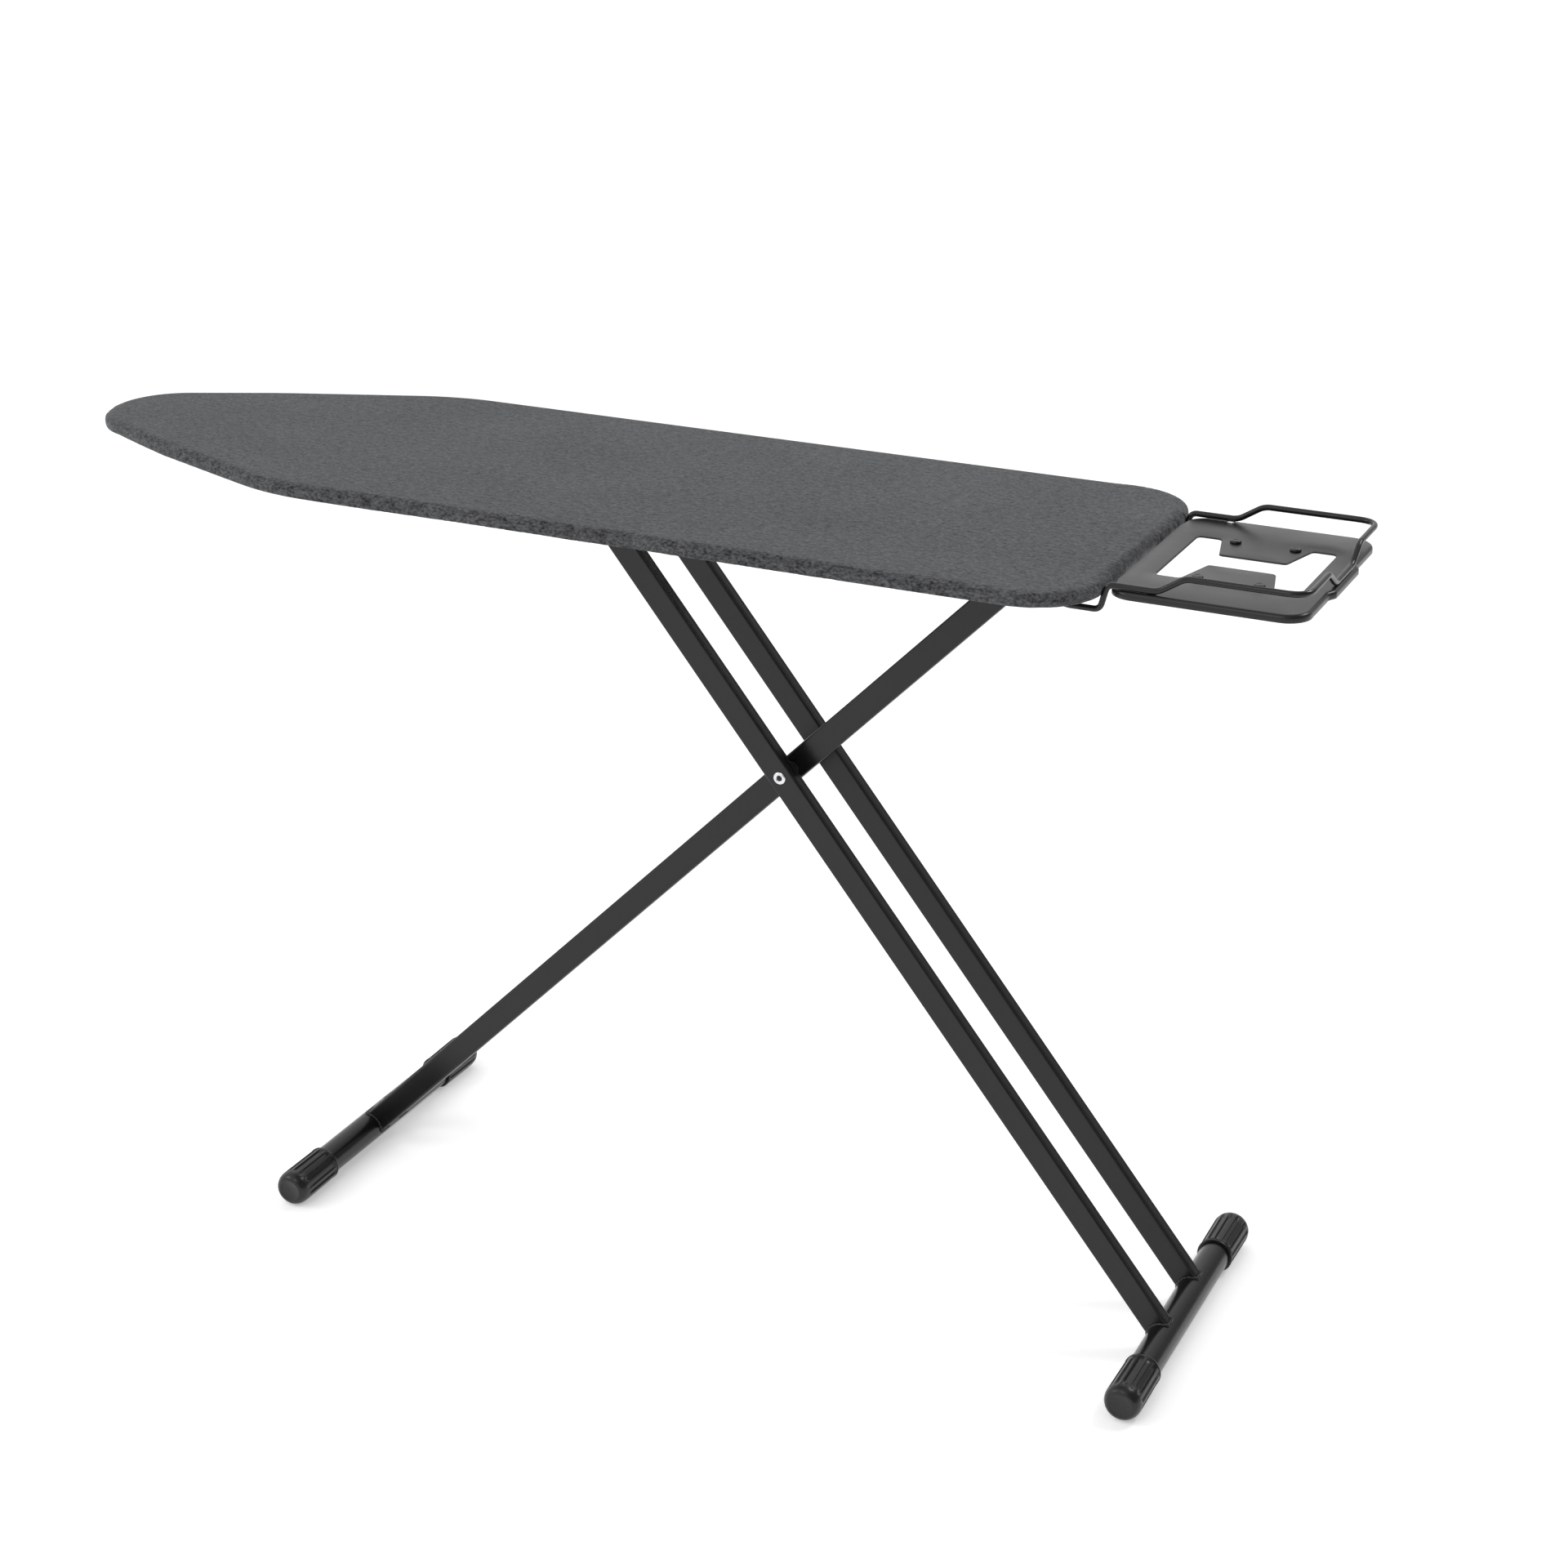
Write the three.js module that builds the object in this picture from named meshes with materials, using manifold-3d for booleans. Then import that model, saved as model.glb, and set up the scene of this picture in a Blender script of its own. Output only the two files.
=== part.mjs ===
// Folding ironing board with an iron rest, in millimetres, +Z up.
// X runs along the board: the nose is at -X and the iron rest at +X. Y = 0 is the centre plane.
// The model is laid out from the leg pivot and the last line of the layout moves the origin
// to the middle of the whole board's footprint, at floor level.
import * as THREE from "three";
import { mergeVertices } from "three/addons/utils/BufferGeometryUtils.js";
import Module from "manifold-3d";

const wasm = await Module();
wasm.setup();

// ---------- Driving dimensions ----------

// Board top: the outline is a rounded polygon, the layers are stacked down from the top.
const TOP_HEIGHT = 900;
const BOARD_LENGTH = 1264;
const BOARD_WIDTH = 410;
const BOARD_REAR_X = 376; // rear end of the cover, ahead of the leg pivot
const NOSE_RADIUS = 85;
const CHEEK_SETBACK = 143; // from the nose tip to the first bend of the flank
const CHEEK_WIDTH = 248;
const CHEEK_RADIUS = 600;
const SHOULDER_SETBACK = 343; // from the nose tip to the full width
const SHOULDER_RADIUS = 250;
const REAR_CORNER_RADIUS = 75;
const COVER_SKIN = 1.2;
const PADDING_THICKNESS = 4;
const SHEET_THICKNESS = 0.5; // weighs what a thicker mesh does
const SHEET_SETBACK = 2; // the sheet's edge inside the padding's edge
const FRAME_DEPTH = 8.2;
const FRAME_WALL = 1.3;
const FRAME_BAND = 14;
const HEM_WIDTH = 30;
const ELASTIC_WIDTH = 7;
const ELASTIC_THICKNESS = 0.8;
const GAP = 0.3; // between pieces that touch

// Cross straps under the board.
const STRAP_WIDTH = 22;
const STRAP_DEPTH = 6.9;
const STRAP_WALL = 1.3;

// Legs: two outer tubes reach the rear foot, two inner tubes reach the front foot.
const PIVOT_HEIGHT = 600;
const OUTER_FOOT_REACH = 468;
const INNER_FOOT_REACH = 571;
const LEG_DEPTH = 29; // across the tube in the plane of the legs
const LEG_WIDTH = 17; // across the tube along Y
const LEG_WALL = 1.1;
const LEG_EDGE_RADIUS = 3;
const OUTER_LEG_Y = 53.5; // middle of an outer tube
const INNER_LEG_Y = 21; // middle of an inner tube
const AXLE_RADIUS = 5;
const RUNNING_GAP = 0.3; // radial, between an axle and what turns on it

// Feet.
const FOOT_TUBE_RADIUS = 17.5;
const FOOT_TUBE_WALL = 1.3;
const FOOT_LENGTH = 412; // over the end caps
const CAP_RADIUS = 21;
const CAP_LENGTH = 76;
const CAP_FLOOR = 9; // thickness of the closed end
const CAP_EDGE = 5;

// Pivot rivet.
const RIVET_BORE_RADIUS = 3;
const RIVET_HEAD_RADIUS = 7;
const RIVET_HEAD = 1.6;
const SPACER_RADIUS = 8.5;

// Height rack: two channel rails hold the rollers of the slider bar.
const ROLLER_RADIUS = 7.5;
const ROLLER_LENGTH = 16;
const RAIL_START_Y = 66;
const RAIL_WALL = 2;
const RAIL_FLANGE = 12;
const RAIL_OVERRUN = 16; // past the roller at the folded end of its travel
const RAIL_HEADROOM = 5; // the roller lifts this far into a height notch
const HEIGHT_NOTCHES = 6;
const NOTCH_PITCH = 27;
const NOTCH_LENGTH = 16;

// Hinge brackets of the inner legs.
const BRACKET_WALL = 2;
const BRACKET_WIDTH = 42;
const BRACKET_FOOT = 9;

// Release lever.
const LEVER_SHAFT_RADIUS = 2.5;
const LEVER_SHAFT_AHEAD = 30; // shaft ahead of the slider bar
const LEVER_SHAFT_DROP = 18.6; // below the top
const LEVER_SHAFT_CLEAR = 0.4; // between the shaft and the rails' ceiling below it
const LEVER_REACH_Y = 142; // handle's outer end
const LEVER_HANDLE_LENGTH = 38; // along Y
const LEVER_ARM = 62; // from the shaft to the handle's edge
const LEVER_SAG = 14; // handle below the shaft
const LEVER_BEND = 8;
const LEVER_DROP_REACH = 16; // the rod slopes down to the handle over this length
const FINGER_Y = 37;
const FINGER_WIDTH = 5;
const FINGER_LENGTH = 30;
const FINGER_DEPTH = 4;
const SPRING_WIRE_RADIUS = 0.6;
const SPRING_TURNS = 6;
const SPRING_LENGTH = 10;
const MIDDLE_STRAP_AHEAD = 24; // of the lever shaft

// Iron rest.
const REST_GAP = 6; // between the board's rear end and the plate
const PLATE_LENGTH = 200;
const PLATE_WIDTH = 280;
const PLATE_DROP = 6; // plate's face below the board's top
const PLATE_THICKNESS = 1.5;
const PLATE_RIM = 8;
const PLATE_CORNER = 26;
const PLATE_BULGE = 5; // of the far rim, where the wire is welded to it
const PLATE_BULGE_LENGTH = 86;
const WINDOW_LENGTH = 146; // cut-out, along X
const WINDOW_WIDTH = 142;
const WINDOW_CORNER = 5;
const WINDOW_SHIFT = 2; // cut-out's middle ahead of the plate's middle
const TAB_TIP = 70; // tab's tip, along X
const TAB_BASE = 96;
const TAB_GAP = 36; // between the two tabs' tips
const BUTTON_SPACING_X = 63;
const BUTTON_SPACING_Y = 130;
const BUTTON_RADIUS = 6;
const BUTTON_STEM_RADIUS = 3;
const BUTTON_HEIGHT = 3;
const WIRE_RADIUS = 3.2;
const WIRE_LIFT = 17; // raised stretches above the low ones
const WIRE_EDGE = 5; // wire's axis inside the plate's edge
const WIRE_BEND = 7; // reach of a bend on each side of its corner
const WIRE_CORNER_BEND = 22;
const WIRE_LOW_REACH = 52; // low stretch on each long side, from the plate's board edge
const WIRE_STEP = 27; // length of each slope between low and raised
const WIRE_END_LOW = 62; // low stretch on the far rim
const WIRE_UNDER_DROP = 29; // under the board, below the top
const WIRE_TAIL = 128; // under the board, from its rear end

// ---------- Derived places ----------

const halfWidth = BOARD_WIDTH / 2;
const noseX = BOARD_REAR_X - BOARD_LENGTH;
const paddingTop = TOP_HEIGHT - COVER_SKIN - GAP;
const sheetTop = paddingTop - PADDING_THICKNESS - GAP;
const frameTop = sheetTop - SHEET_THICKNESS - GAP;
const frameBottom = frameTop - FRAME_DEPTH;
const hemTop = frameBottom - GAP;
const coverBottom = hemTop - COVER_SKIN;
const strapBottom = frameTop - STRAP_DEPTH;
const paddingInset = COVER_SKIN + GAP;
const frameInset = paddingInset;
const strapInset = frameInset + FRAME_BAND + GAP;

const leverZ = TOP_HEIGHT - LEVER_SHAFT_DROP;
const channelTop = leverZ - LEVER_SHAFT_RADIUS - LEVER_SHAFT_CLEAR;
const hingeZ = channelTop - RAIL_WALL - RAIL_HEADROOM - ROLLER_RADIUS;
const footZ = CAP_RADIUS;
const legRise = PIVOT_HEIGHT - footZ;
const outerAngle = Math.atan2(legRise, OUTER_FOOT_REACH); // both from the floor
const innerAngle = Math.atan2(legRise, INNER_FOOT_REACH);
const outerLower = Math.hypot(legRise, OUTER_FOOT_REACH);
const innerLower = Math.hypot(legRise, INNER_FOOT_REACH);
const outerUpper = (hingeZ - PIVOT_HEIGHT) / Math.sin(outerAngle);
const innerUpper = (hingeZ - PIVOT_HEIGHT) / Math.sin(innerAngle);
const sliderX = -outerUpper * Math.cos(outerAngle);
const hingeX = innerUpper * Math.cos(innerAngle);
const sliderFoldedX = hingeX - innerUpper - outerUpper;

const railWebY = RAIL_START_Y + 0.5 + ROLLER_LENGTH + 1;
const railFloor = hingeZ - ROLLER_RADIUS - 1;
const railCeiling = hingeZ + ROLLER_RADIUS + RAIL_HEADROOM;
const railTop = strapBottom - GAP;
const railFrontX = sliderFoldedX - ROLLER_RADIUS - RAIL_OVERRUN;
const leverX = sliderX + LEVER_SHAFT_AHEAD;
const middleStrapX = leverX + MIDDLE_STRAP_AHEAD;
const railRearX = middleStrapX + STRAP_WIDTH / 2;

const plateTop = TOP_HEIGHT - PLATE_DROP;
const plateStartX = BOARD_REAR_X + REST_GAP;
const plateEndX = plateStartX + PLATE_LENGTH;
const plateMiddleX = plateStartX + PLATE_LENGTH / 2;
const windowMiddleX = plateMiddleX + WINDOW_SHIFT;
const wireLowZ = plateTop + GAP + WIRE_RADIUS;
const wireHighZ = wireLowZ + WIRE_LIFT;
const wireUnderZ = TOP_HEIGHT - WIRE_UNDER_DROP;
const wireTailZ = strapBottom - GAP - WIRE_RADIUS;
const wireY = PLATE_WIDTH / 2 - WIRE_EDGE;
const wireEndX = plateEndX + PLATE_BULGE - WIRE_EDGE;

// ---------- Materials ----------

const finish = (color, roughness, metalness) =>
  new THREE.MeshStandardMaterial({ color, roughness, metalness });
const cloth = () => finish(0x4b4d50, 0.95, 0);
const felt = () => finish(0xd8d4c8, 1, 0);
const blackPaint = () => finish(0x2a2c2f, 0.42, 0.1);
const greyPaint = () => finish(0x3a3c40, 0.4, 0.2);
const zincSteel = () => finish(0xa9abae, 0.35, 0.9);
const rubber = () => finish(0x141416, 0.75, 0);
const plastic = () => finish(0x1c1d20, 0.5, 0);

// ---------- Geometry helpers ----------

function toSolid(geometry) {
  const bare = geometry.clone();
  bare.deleteAttribute("normal");
  bare.deleteAttribute("uv");
  const merged = mergeVertices(bare, 1e-4);
  return new wasm.Manifold(
    new wasm.Mesh({
      numProp: 3,
      vertProperties: new Float32Array(merged.attributes.position.array),
      triVerts: new Uint32Array(merged.index.array),
    }),
  );
}

function toGeometry(solid) {
  const mesh = solid.getMesh();
  const geometry = new THREE.BufferGeometry();
  geometry.setAttribute("position", new THREE.BufferAttribute(mesh.vertProperties, 3));
  geometry.setIndex(new THREE.BufferAttribute(mesh.triVerts, 1));
  geometry.computeVertexNormals();
  return geometry;
}

function named(name, shape, material) {
  const geometry = shape.isBufferGeometry ? shape : toGeometry(shape);
  const mesh = new THREE.Mesh(geometry, material);
  mesh.name = name;
  return mesh;
}

// Upright prism of a 2D shape, from z0 to z1.
function prism(shape, z0, z1) {
  const geometry = new THREE.ExtrudeGeometry(shape, { depth: z1 - z0, bevelEnabled: false });
  return geometry.translate(0, 0, z0);
}

function box(x0, x1, y0, y1, z0, z1) {
  const geometry = new THREE.BoxGeometry(x1 - x0, y1 - y0, z1 - z0);
  return geometry.translate((x0 + x1) / 2, (y0 + y1) / 2, (z0 + z1) / 2);
}

// Solid pin along Y, centred on (x, z).
function pin(radius, y0, y1, x, z, sides = 20) {
  const geometry = new THREE.CylinderGeometry(radius, radius, y1 - y0, sides);
  return geometry.translate(x, (y0 + y1) / 2, z);
}

// Ring or cup along Y: profile points are [radius, y].
function turned(profile, x, z, sides = 24) {
  const points = profile.map(([radius, y]) => new THREE.Vector2(radius, y));
  return new THREE.LatheGeometry(points, sides).translate(x, 0, z);
}

function sleeve(inner, outer, y0, y1, x, z, sides = 24) {
  const profile = [
    [inner, y0],
    [outer, y0],
    [outer, y1],
    [inner, y1],
    [inner, y0],
  ];
  return turned(profile, x, z, sides);
}

function circleShape(radius, sides) {
  const shape = new THREE.Shape();
  for (let i = 0; i < sides; i++) {
    const angle = (i / sides) * 2 * Math.PI;
    const x = radius * Math.cos(angle);
    const y = radius * Math.sin(angle);
    if (i === 0) shape.moveTo(x, y);
    else shape.lineTo(x, y);
  }
  return shape;
}

// Outline of a polygon moved inwards by inset, its corners rounded.
// corners: [x, y, radius], anticlockwise.
function roundedOutline(corners, inset = 0, stepDegrees = 12) {
  const edges = corners.map(([x, y], i) => {
    const [nextX, nextY] = corners[(i + 1) % corners.length];
    const length = Math.hypot(nextX - x, nextY - y);
    const dx = (nextX - x) / length;
    const dy = (nextY - y) / length;
    return { x: x - dy * inset, y: y + dx * inset, dx, dy };
  });
  const points = [];
  edges.forEach((next, i) => {
    const last = edges[(i + edges.length - 1) % edges.length];
    const cross = last.dx * next.dy - last.dy * next.dx;
    const along = ((next.x - last.x) * next.dy - (next.y - last.y) * next.dx) / cross;
    const cornerX = last.x + last.dx * along;
    const cornerY = last.y + last.dy * along;
    const turn = Math.atan2(cross, last.dx * next.dx + last.dy * next.dy);
    const side = Math.sign(turn);
    const radius = Math.max(corners[i][2] - side * inset, 0.5);
    const tangent = radius * Math.tan(Math.abs(turn) / 2);
    const centreX = cornerX - last.dx * tangent - side * last.dy * radius;
    const centreY = cornerY - last.dy * tangent + side * last.dx * radius;
    const start = Math.atan2(-side * last.dx, side * last.dy);
    const degrees = THREE.MathUtils.radToDeg(Math.abs(turn));
    const steps = 2 * Math.ceil(degrees / (2 * stepDegrees)); // even, so a vertex lies mid-arc
    for (let k = 0; k <= steps; k++) {
      const angle = start + (turn * k) / steps;
      points.push([centreX + radius * Math.cos(angle), centreY + radius * Math.sin(angle)]);
    }
  });
  return points;
}

function shapeOf(points) {
  const shape = new THREE.Shape();
  points.forEach(([x, y], i) => (i ? shape.lineTo(x, y) : shape.moveTo(x, y)));
  return shape;
}

function ringShape(outer, inner) {
  const shape = shapeOf(outer);
  shape.holes.push(new THREE.Path(inner.map(([x, y]) => new THREE.Vector2(x, y))));
  return shape;
}

function rectangle(halfX, halfY, radius) {
  return [
    [-halfX, -halfY, radius],
    [halfX, -halfY, radius],
    [halfX, halfY, radius],
    [-halfX, halfY, radius],
  ];
}

// Points of a route: straight between corners, each corner eased; bends holds each corner's reach.
function easedRoute(route, bends, bendSteps) {
  const points = [route[0]];
  for (let i = 1; i < route.length - 1; i++) {
    const corner = route[i];
    const back = new THREE.Vector3().subVectors(route[i - 1], corner);
    const ahead = new THREE.Vector3().subVectors(route[i + 1], corner);
    const reach = Math.min(bends[i], back.length() * 0.45, ahead.length() * 0.45);
    const start = corner.clone().addScaledVector(back.normalize(), reach);
    const end = corner.clone().addScaledVector(ahead.normalize(), reach);
    const bend = new THREE.QuadraticBezierCurve3(start, corner, end);
    points.push(...bend.getPoints(bendSteps));
  }
  points.push(route[route.length - 1]);
  return points;
}

// Curve whose extrusion steps fall exactly on its points.
class PointPath extends THREE.Curve {
  constructor(points) {
    super();
    this.points = points;
  }
  getPointAt(u) {
    return this.points[Math.round(u * (this.points.length - 1))].clone();
  }
  getTangentAt(u) {
    const last = this.points.length - 1;
    const i = Math.round(u * last);
    const ahead = this.points[Math.min(i + 1, last)];
    return ahead.clone().sub(this.points[Math.max(i - 1, 0)]).normalize();
  }
}

// Round rod along a route of corner points.
function rod(route, radius, bends, sides, bendSteps = 4) {
  const points = easedRoute(route, bends, bendSteps);
  return new THREE.ExtrudeGeometry(circleShape(radius, sides), {
    steps: points.length - 1,
    extrudePath: new PointPath(points),
    bevelEnabled: false,
  });
}

// ---------- Board ----------

// The nose is a circle, and each flank leaves it along the tangent through the cheek.
function boardOutline(inset) {
  const cheekX = noseX + CHEEK_SETBACK;
  const cheekY = CHEEK_WIDTH / 2;
  const noseCentreX = noseX + NOSE_RADIUS;
  const toCheek = Math.hypot(cheekX - noseCentreX, cheekY);
  const flank =
    Math.atan2(cheekY, cheekX - noseCentreX) - Math.asin(NOSE_RADIUS / toCheek);
  const apexX = cheekX - cheekY / Math.tan(flank);
  const shoulderX = noseX + SHOULDER_SETBACK;
  const corners = [
    [apexX, 0, NOSE_RADIUS],
    [cheekX, -cheekY, CHEEK_RADIUS],
    [shoulderX, -halfWidth, SHOULDER_RADIUS],
    [BOARD_REAR_X, -halfWidth, REAR_CORNER_RADIUS],
    [BOARD_REAR_X, halfWidth, REAR_CORNER_RADIUS],
    [shoulderX, halfWidth, SHOULDER_RADIUS],
    [cheekX, cheekY, CHEEK_RADIUS],
  ];
  return roundedOutline(corners, inset, 10);
}

// Fitted cover: top, sides and a hem turned in under the frame, open below.
function makeCover() {
  const skirt = toSolid(prism(shapeOf(boardOutline(0)), coverBottom, TOP_HEIGHT));
  const room = toSolid(prism(shapeOf(boardOutline(COVER_SKIN)), hemTop, TOP_HEIGHT - COVER_SKIN));
  const mouth = toSolid(prism(shapeOf(boardOutline(HEM_WIDTH)), coverBottom - 1, hemTop + 1));
  return named("cover", skirt.subtract(room).subtract(mouth), cloth());
}

function makeHemElastic() {
  const outer = boardOutline(HEM_WIDTH - ELASTIC_WIDTH - 2);
  const inner = boardOutline(HEM_WIDTH - 2);
  const bottom = hemTop + GAP;
  const band = prism(ringShape(outer, inner), bottom, bottom + ELASTIC_THICKNESS);
  return named("hem_elastic", band, plastic());
}

function makePadding() {
  const slab = prism(shapeOf(boardOutline(paddingInset)), paddingTop - PADDING_THICKNESS, paddingTop);
  return named("padding", slab, felt());
}

function makeSheet() {
  const outline = shapeOf(boardOutline(paddingInset + SHEET_SETBACK));
  return named("mesh_top", prism(outline, sheetTop - SHEET_THICKNESS, sheetTop), greyPaint());
}

// Rolled channel that opens towards the middle of the board.
function makeFrame() {
  const outer = boardOutline(frameInset);
  const web = boardOutline(frameInset + FRAME_WALL);
  const band = toSolid(prism(ringShape(outer, boardOutline(strapInset - GAP)), frameBottom, frameTop));
  const room = prism(shapeOf(web), frameBottom + FRAME_WALL, frameTop - FRAME_WALL);
  return named("perimeter_frame", band.subtract(toSolid(room)), blackPaint());
}

// Cross straps run from one side of the frame to the other: channels that open upwards.
function makeStrap(name, x) {
  const room = toSolid(prism(shapeOf(boardOutline(strapInset)), strapBottom, frameTop));
  const x0 = x - STRAP_WIDTH / 2;
  const x1 = x0 + STRAP_WIDTH;
  const bar = toSolid(box(x0, x1, -halfWidth, halfWidth, strapBottom - 1, frameTop + 1));
  const floor = strapBottom + STRAP_WALL;
  const trough = box(x0 + STRAP_WALL, x1 - STRAP_WALL, -halfWidth, halfWidth, floor, frameTop + 1);
  return named(name, room.intersect(bar).subtract(toSolid(trough)), blackPaint());
}

// ---------- Height rack ----------

function makeRail(name, side) {
  const web = railWebY;
  const outside = web + RAIL_WALL;
  const section = shapeOf([
    [RAIL_START_Y, railFloor - RAIL_WALL],
    [outside, railFloor - RAIL_WALL],
    [outside, railTop - RAIL_WALL],
    [outside + RAIL_FLANGE, railTop - RAIL_WALL],
    [outside + RAIL_FLANGE, railTop],
    [web, railTop],
    [web, railCeiling + RAIL_WALL],
    [RAIL_START_Y, railCeiling + RAIL_WALL],
    [RAIL_START_Y, railCeiling],
    [web, railCeiling],
    [web, railFloor],
    [RAIL_START_Y, railFloor],
  ]);
  const length = railRearX - railFrontX;
  const channel = prism(section, 0, length);
  // Drawn in (y, z) and pushed along X.
  const turn = new THREE.Matrix4().set(0, 0, 1, railFrontX, 1, 0, 0, 0, 0, 1, 0, 0, 0, 0, 0, 1);
  let rail = toSolid(channel.applyMatrix4(turn));
  for (let i = 0; i < HEIGHT_NOTCHES; i++) {
    const x = sliderX - i * NOTCH_PITCH;
    const x0 = x - NOTCH_LENGTH / 2;
    const z0 = railCeiling - 1;
    const z1 = railCeiling + RAIL_WALL + 1;
    const notch = box(x0, x0 + NOTCH_LENGTH, RAIL_START_Y - 1, web - 2, z0, z1);
    rail = rail.subtract(toSolid(notch));
  }
  const bearing = pin(LEVER_SHAFT_RADIUS + RUNNING_GAP, web - 5, outside + 5, leverX, leverZ);
  rail = rail.subtract(toSolid(bearing));
  const mesh = named(name, rail, greyPaint());
  mesh.scale.y = side;
  return mesh;
}

function makeSliderBar() {
  const reach = RAIL_START_Y + 0.5 + ROLLER_LENGTH;
  return named("slider_bar", pin(AXLE_RADIUS, -reach, reach, sliderX, hingeZ), zincSteel());
}

function makeRoller(name, side) {
  const start = RAIL_START_Y + 0.5;
  const y0 = side > 0 ? start : -start - ROLLER_LENGTH;
  const bore = AXLE_RADIUS + RUNNING_GAP;
  return named(
    name,
    sleeve(bore, ROLLER_RADIUS, y0, y0 + ROLLER_LENGTH, sliderX, hingeZ),
    plastic(),
  );
}

// ---------- Release lever ----------

// Finger plate: a hub round the shaft and an arm that lies above the slider bar.
function makeFinger(name, side) {
  const hub = LEVER_SHAFT_RADIUS + 2.5;
  const y0 = side * FINGER_Y - FINGER_WIDTH / 2;
  const y1 = y0 + FINGER_WIDTH;
  const ring = toSolid(pin(hub - 0.2, y0, y1, leverX, leverZ - 1));
  const armTop = leverZ + 1;
  const arm = toSolid(box(leverX - FINGER_LENGTH, leverX, y0, y1, armTop - FINGER_DEPTH, armTop));
  const bore = toSolid(pin(LEVER_SHAFT_RADIUS + GAP, y0 - 1, y1 + 1, leverX, leverZ));
  return named(name, ring.add(arm).subtract(bore), greyPaint());
}

function makeLeverRod() {
  const farEnd = railWebY + RAIL_WALL + 6;
  const handleY = -(LEVER_REACH_Y - LEVER_HANDLE_LENGTH / 2);
  const handleZ = leverZ - LEVER_SAG;
  const route = [
    new THREE.Vector3(leverX, farEnd, leverZ),
    new THREE.Vector3(leverX, handleY, leverZ),
    new THREE.Vector3(leverX + LEVER_DROP_REACH, handleY, handleZ),
    new THREE.Vector3(leverX + LEVER_ARM - 8, handleY, handleZ),
  ];
  const bends = route.map(() => LEVER_BEND);
  return named("lever_rod", rod(route, LEVER_SHAFT_RADIUS, bends, 10), zincSteel());
}

function makeLeverHandle() {
  const handleY = -(LEVER_REACH_Y - LEVER_HANDLE_LENGTH / 2);
  const length = LEVER_ARM - LEVER_DROP_REACH - LEVER_BEND - 3;
  const outline = roundedOutline(rectangle(length / 2, LEVER_HANDLE_LENGTH / 2, 8), 0, 15);
  const thickness = 2 * LEVER_SHAFT_RADIUS + 4;
  const paddle = toSolid(prism(shapeOf(outline), -thickness / 2, thickness / 2));
  const middleX = leverX + LEVER_ARM - length / 2;
  const placedPaddle = paddle.translate([middleX, handleY, leverZ - LEVER_SAG]);
  const socket = new THREE.CylinderGeometry(
    LEVER_SHAFT_RADIUS + GAP,
    LEVER_SHAFT_RADIUS + GAP,
    length,
    16,
  );
  socket.rotateZ(Math.PI / 2).translate(middleX - 7, handleY, leverZ - LEVER_SAG);
  return named("lever_handle", placedPaddle.subtract(toSolid(socket)), plastic());
}

// Return spring: a coil round the shaft, beside the near rail.
function makeLeverSpring() {
  const coilRadius = LEVER_SHAFT_RADIUS + GAP + SPRING_WIRE_RADIUS;
  const startY = -(railWebY + RAIL_WALL + RAIL_FLANGE + 2);
  class Helix extends THREE.Curve {
    getPoint(t) {
      const angle = t * SPRING_TURNS * 2 * Math.PI;
      const x = leverX + coilRadius * Math.cos(angle);
      const z = leverZ + coilRadius * Math.sin(angle);
      return new THREE.Vector3(x, startY - t * SPRING_LENGTH, z);
    }
  }
  const coil = new THREE.ExtrudeGeometry(circleShape(SPRING_WIRE_RADIUS, 6), {
    steps: SPRING_TURNS * 10,
    extrudePath: new Helix(),
    bevelEnabled: false,
  });
  return named("lever_spring", coil, zincSteel());
}

// ---------- Leg hinge ----------

function makeHingeBracket(name, side) {
  const y0 = INNER_LEG_Y + LEG_WIDTH / 2 + 1.5;
  const y1 = y0 + BRACKET_WALL;
  const top = strapBottom - GAP;
  const half = BRACKET_WIDTH / 2;
  const cheek = toSolid(box(hingeX - half, hingeX + half, y0, y1, hingeZ - 12, top));
  const tail = toSolid(
    box(hingeX - half, hingeX + half, y0, y1 + BRACKET_FOOT, top - BRACKET_WALL, top),
  );
  const bore = toSolid(pin(AXLE_RADIUS + RUNNING_GAP, y0 - 1, y1 + 1, hingeX, hingeZ));
  const mesh = named(name, cheek.add(tail).subtract(bore), greyPaint());
  mesh.scale.y = side;
  return mesh;
}

function makeHingeAxle() {
  const reach = INNER_LEG_Y + LEG_WIDTH / 2 + 1.5 + BRACKET_WALL + GAP;
  const head = AXLE_RADIUS + 2;
  const profile = [
    [0, -reach - 2],
    [head, -reach - 2],
    [head, -reach],
    [AXLE_RADIUS, -reach],
    [AXLE_RADIUS, reach],
    [head, reach],
    [head, reach + 2],
    [0, reach + 2],
  ];
  return named("hinge_axle", turned(profile, hingeX, hingeZ, 20), zincSteel());
}

// ---------- Legs ----------

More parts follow.
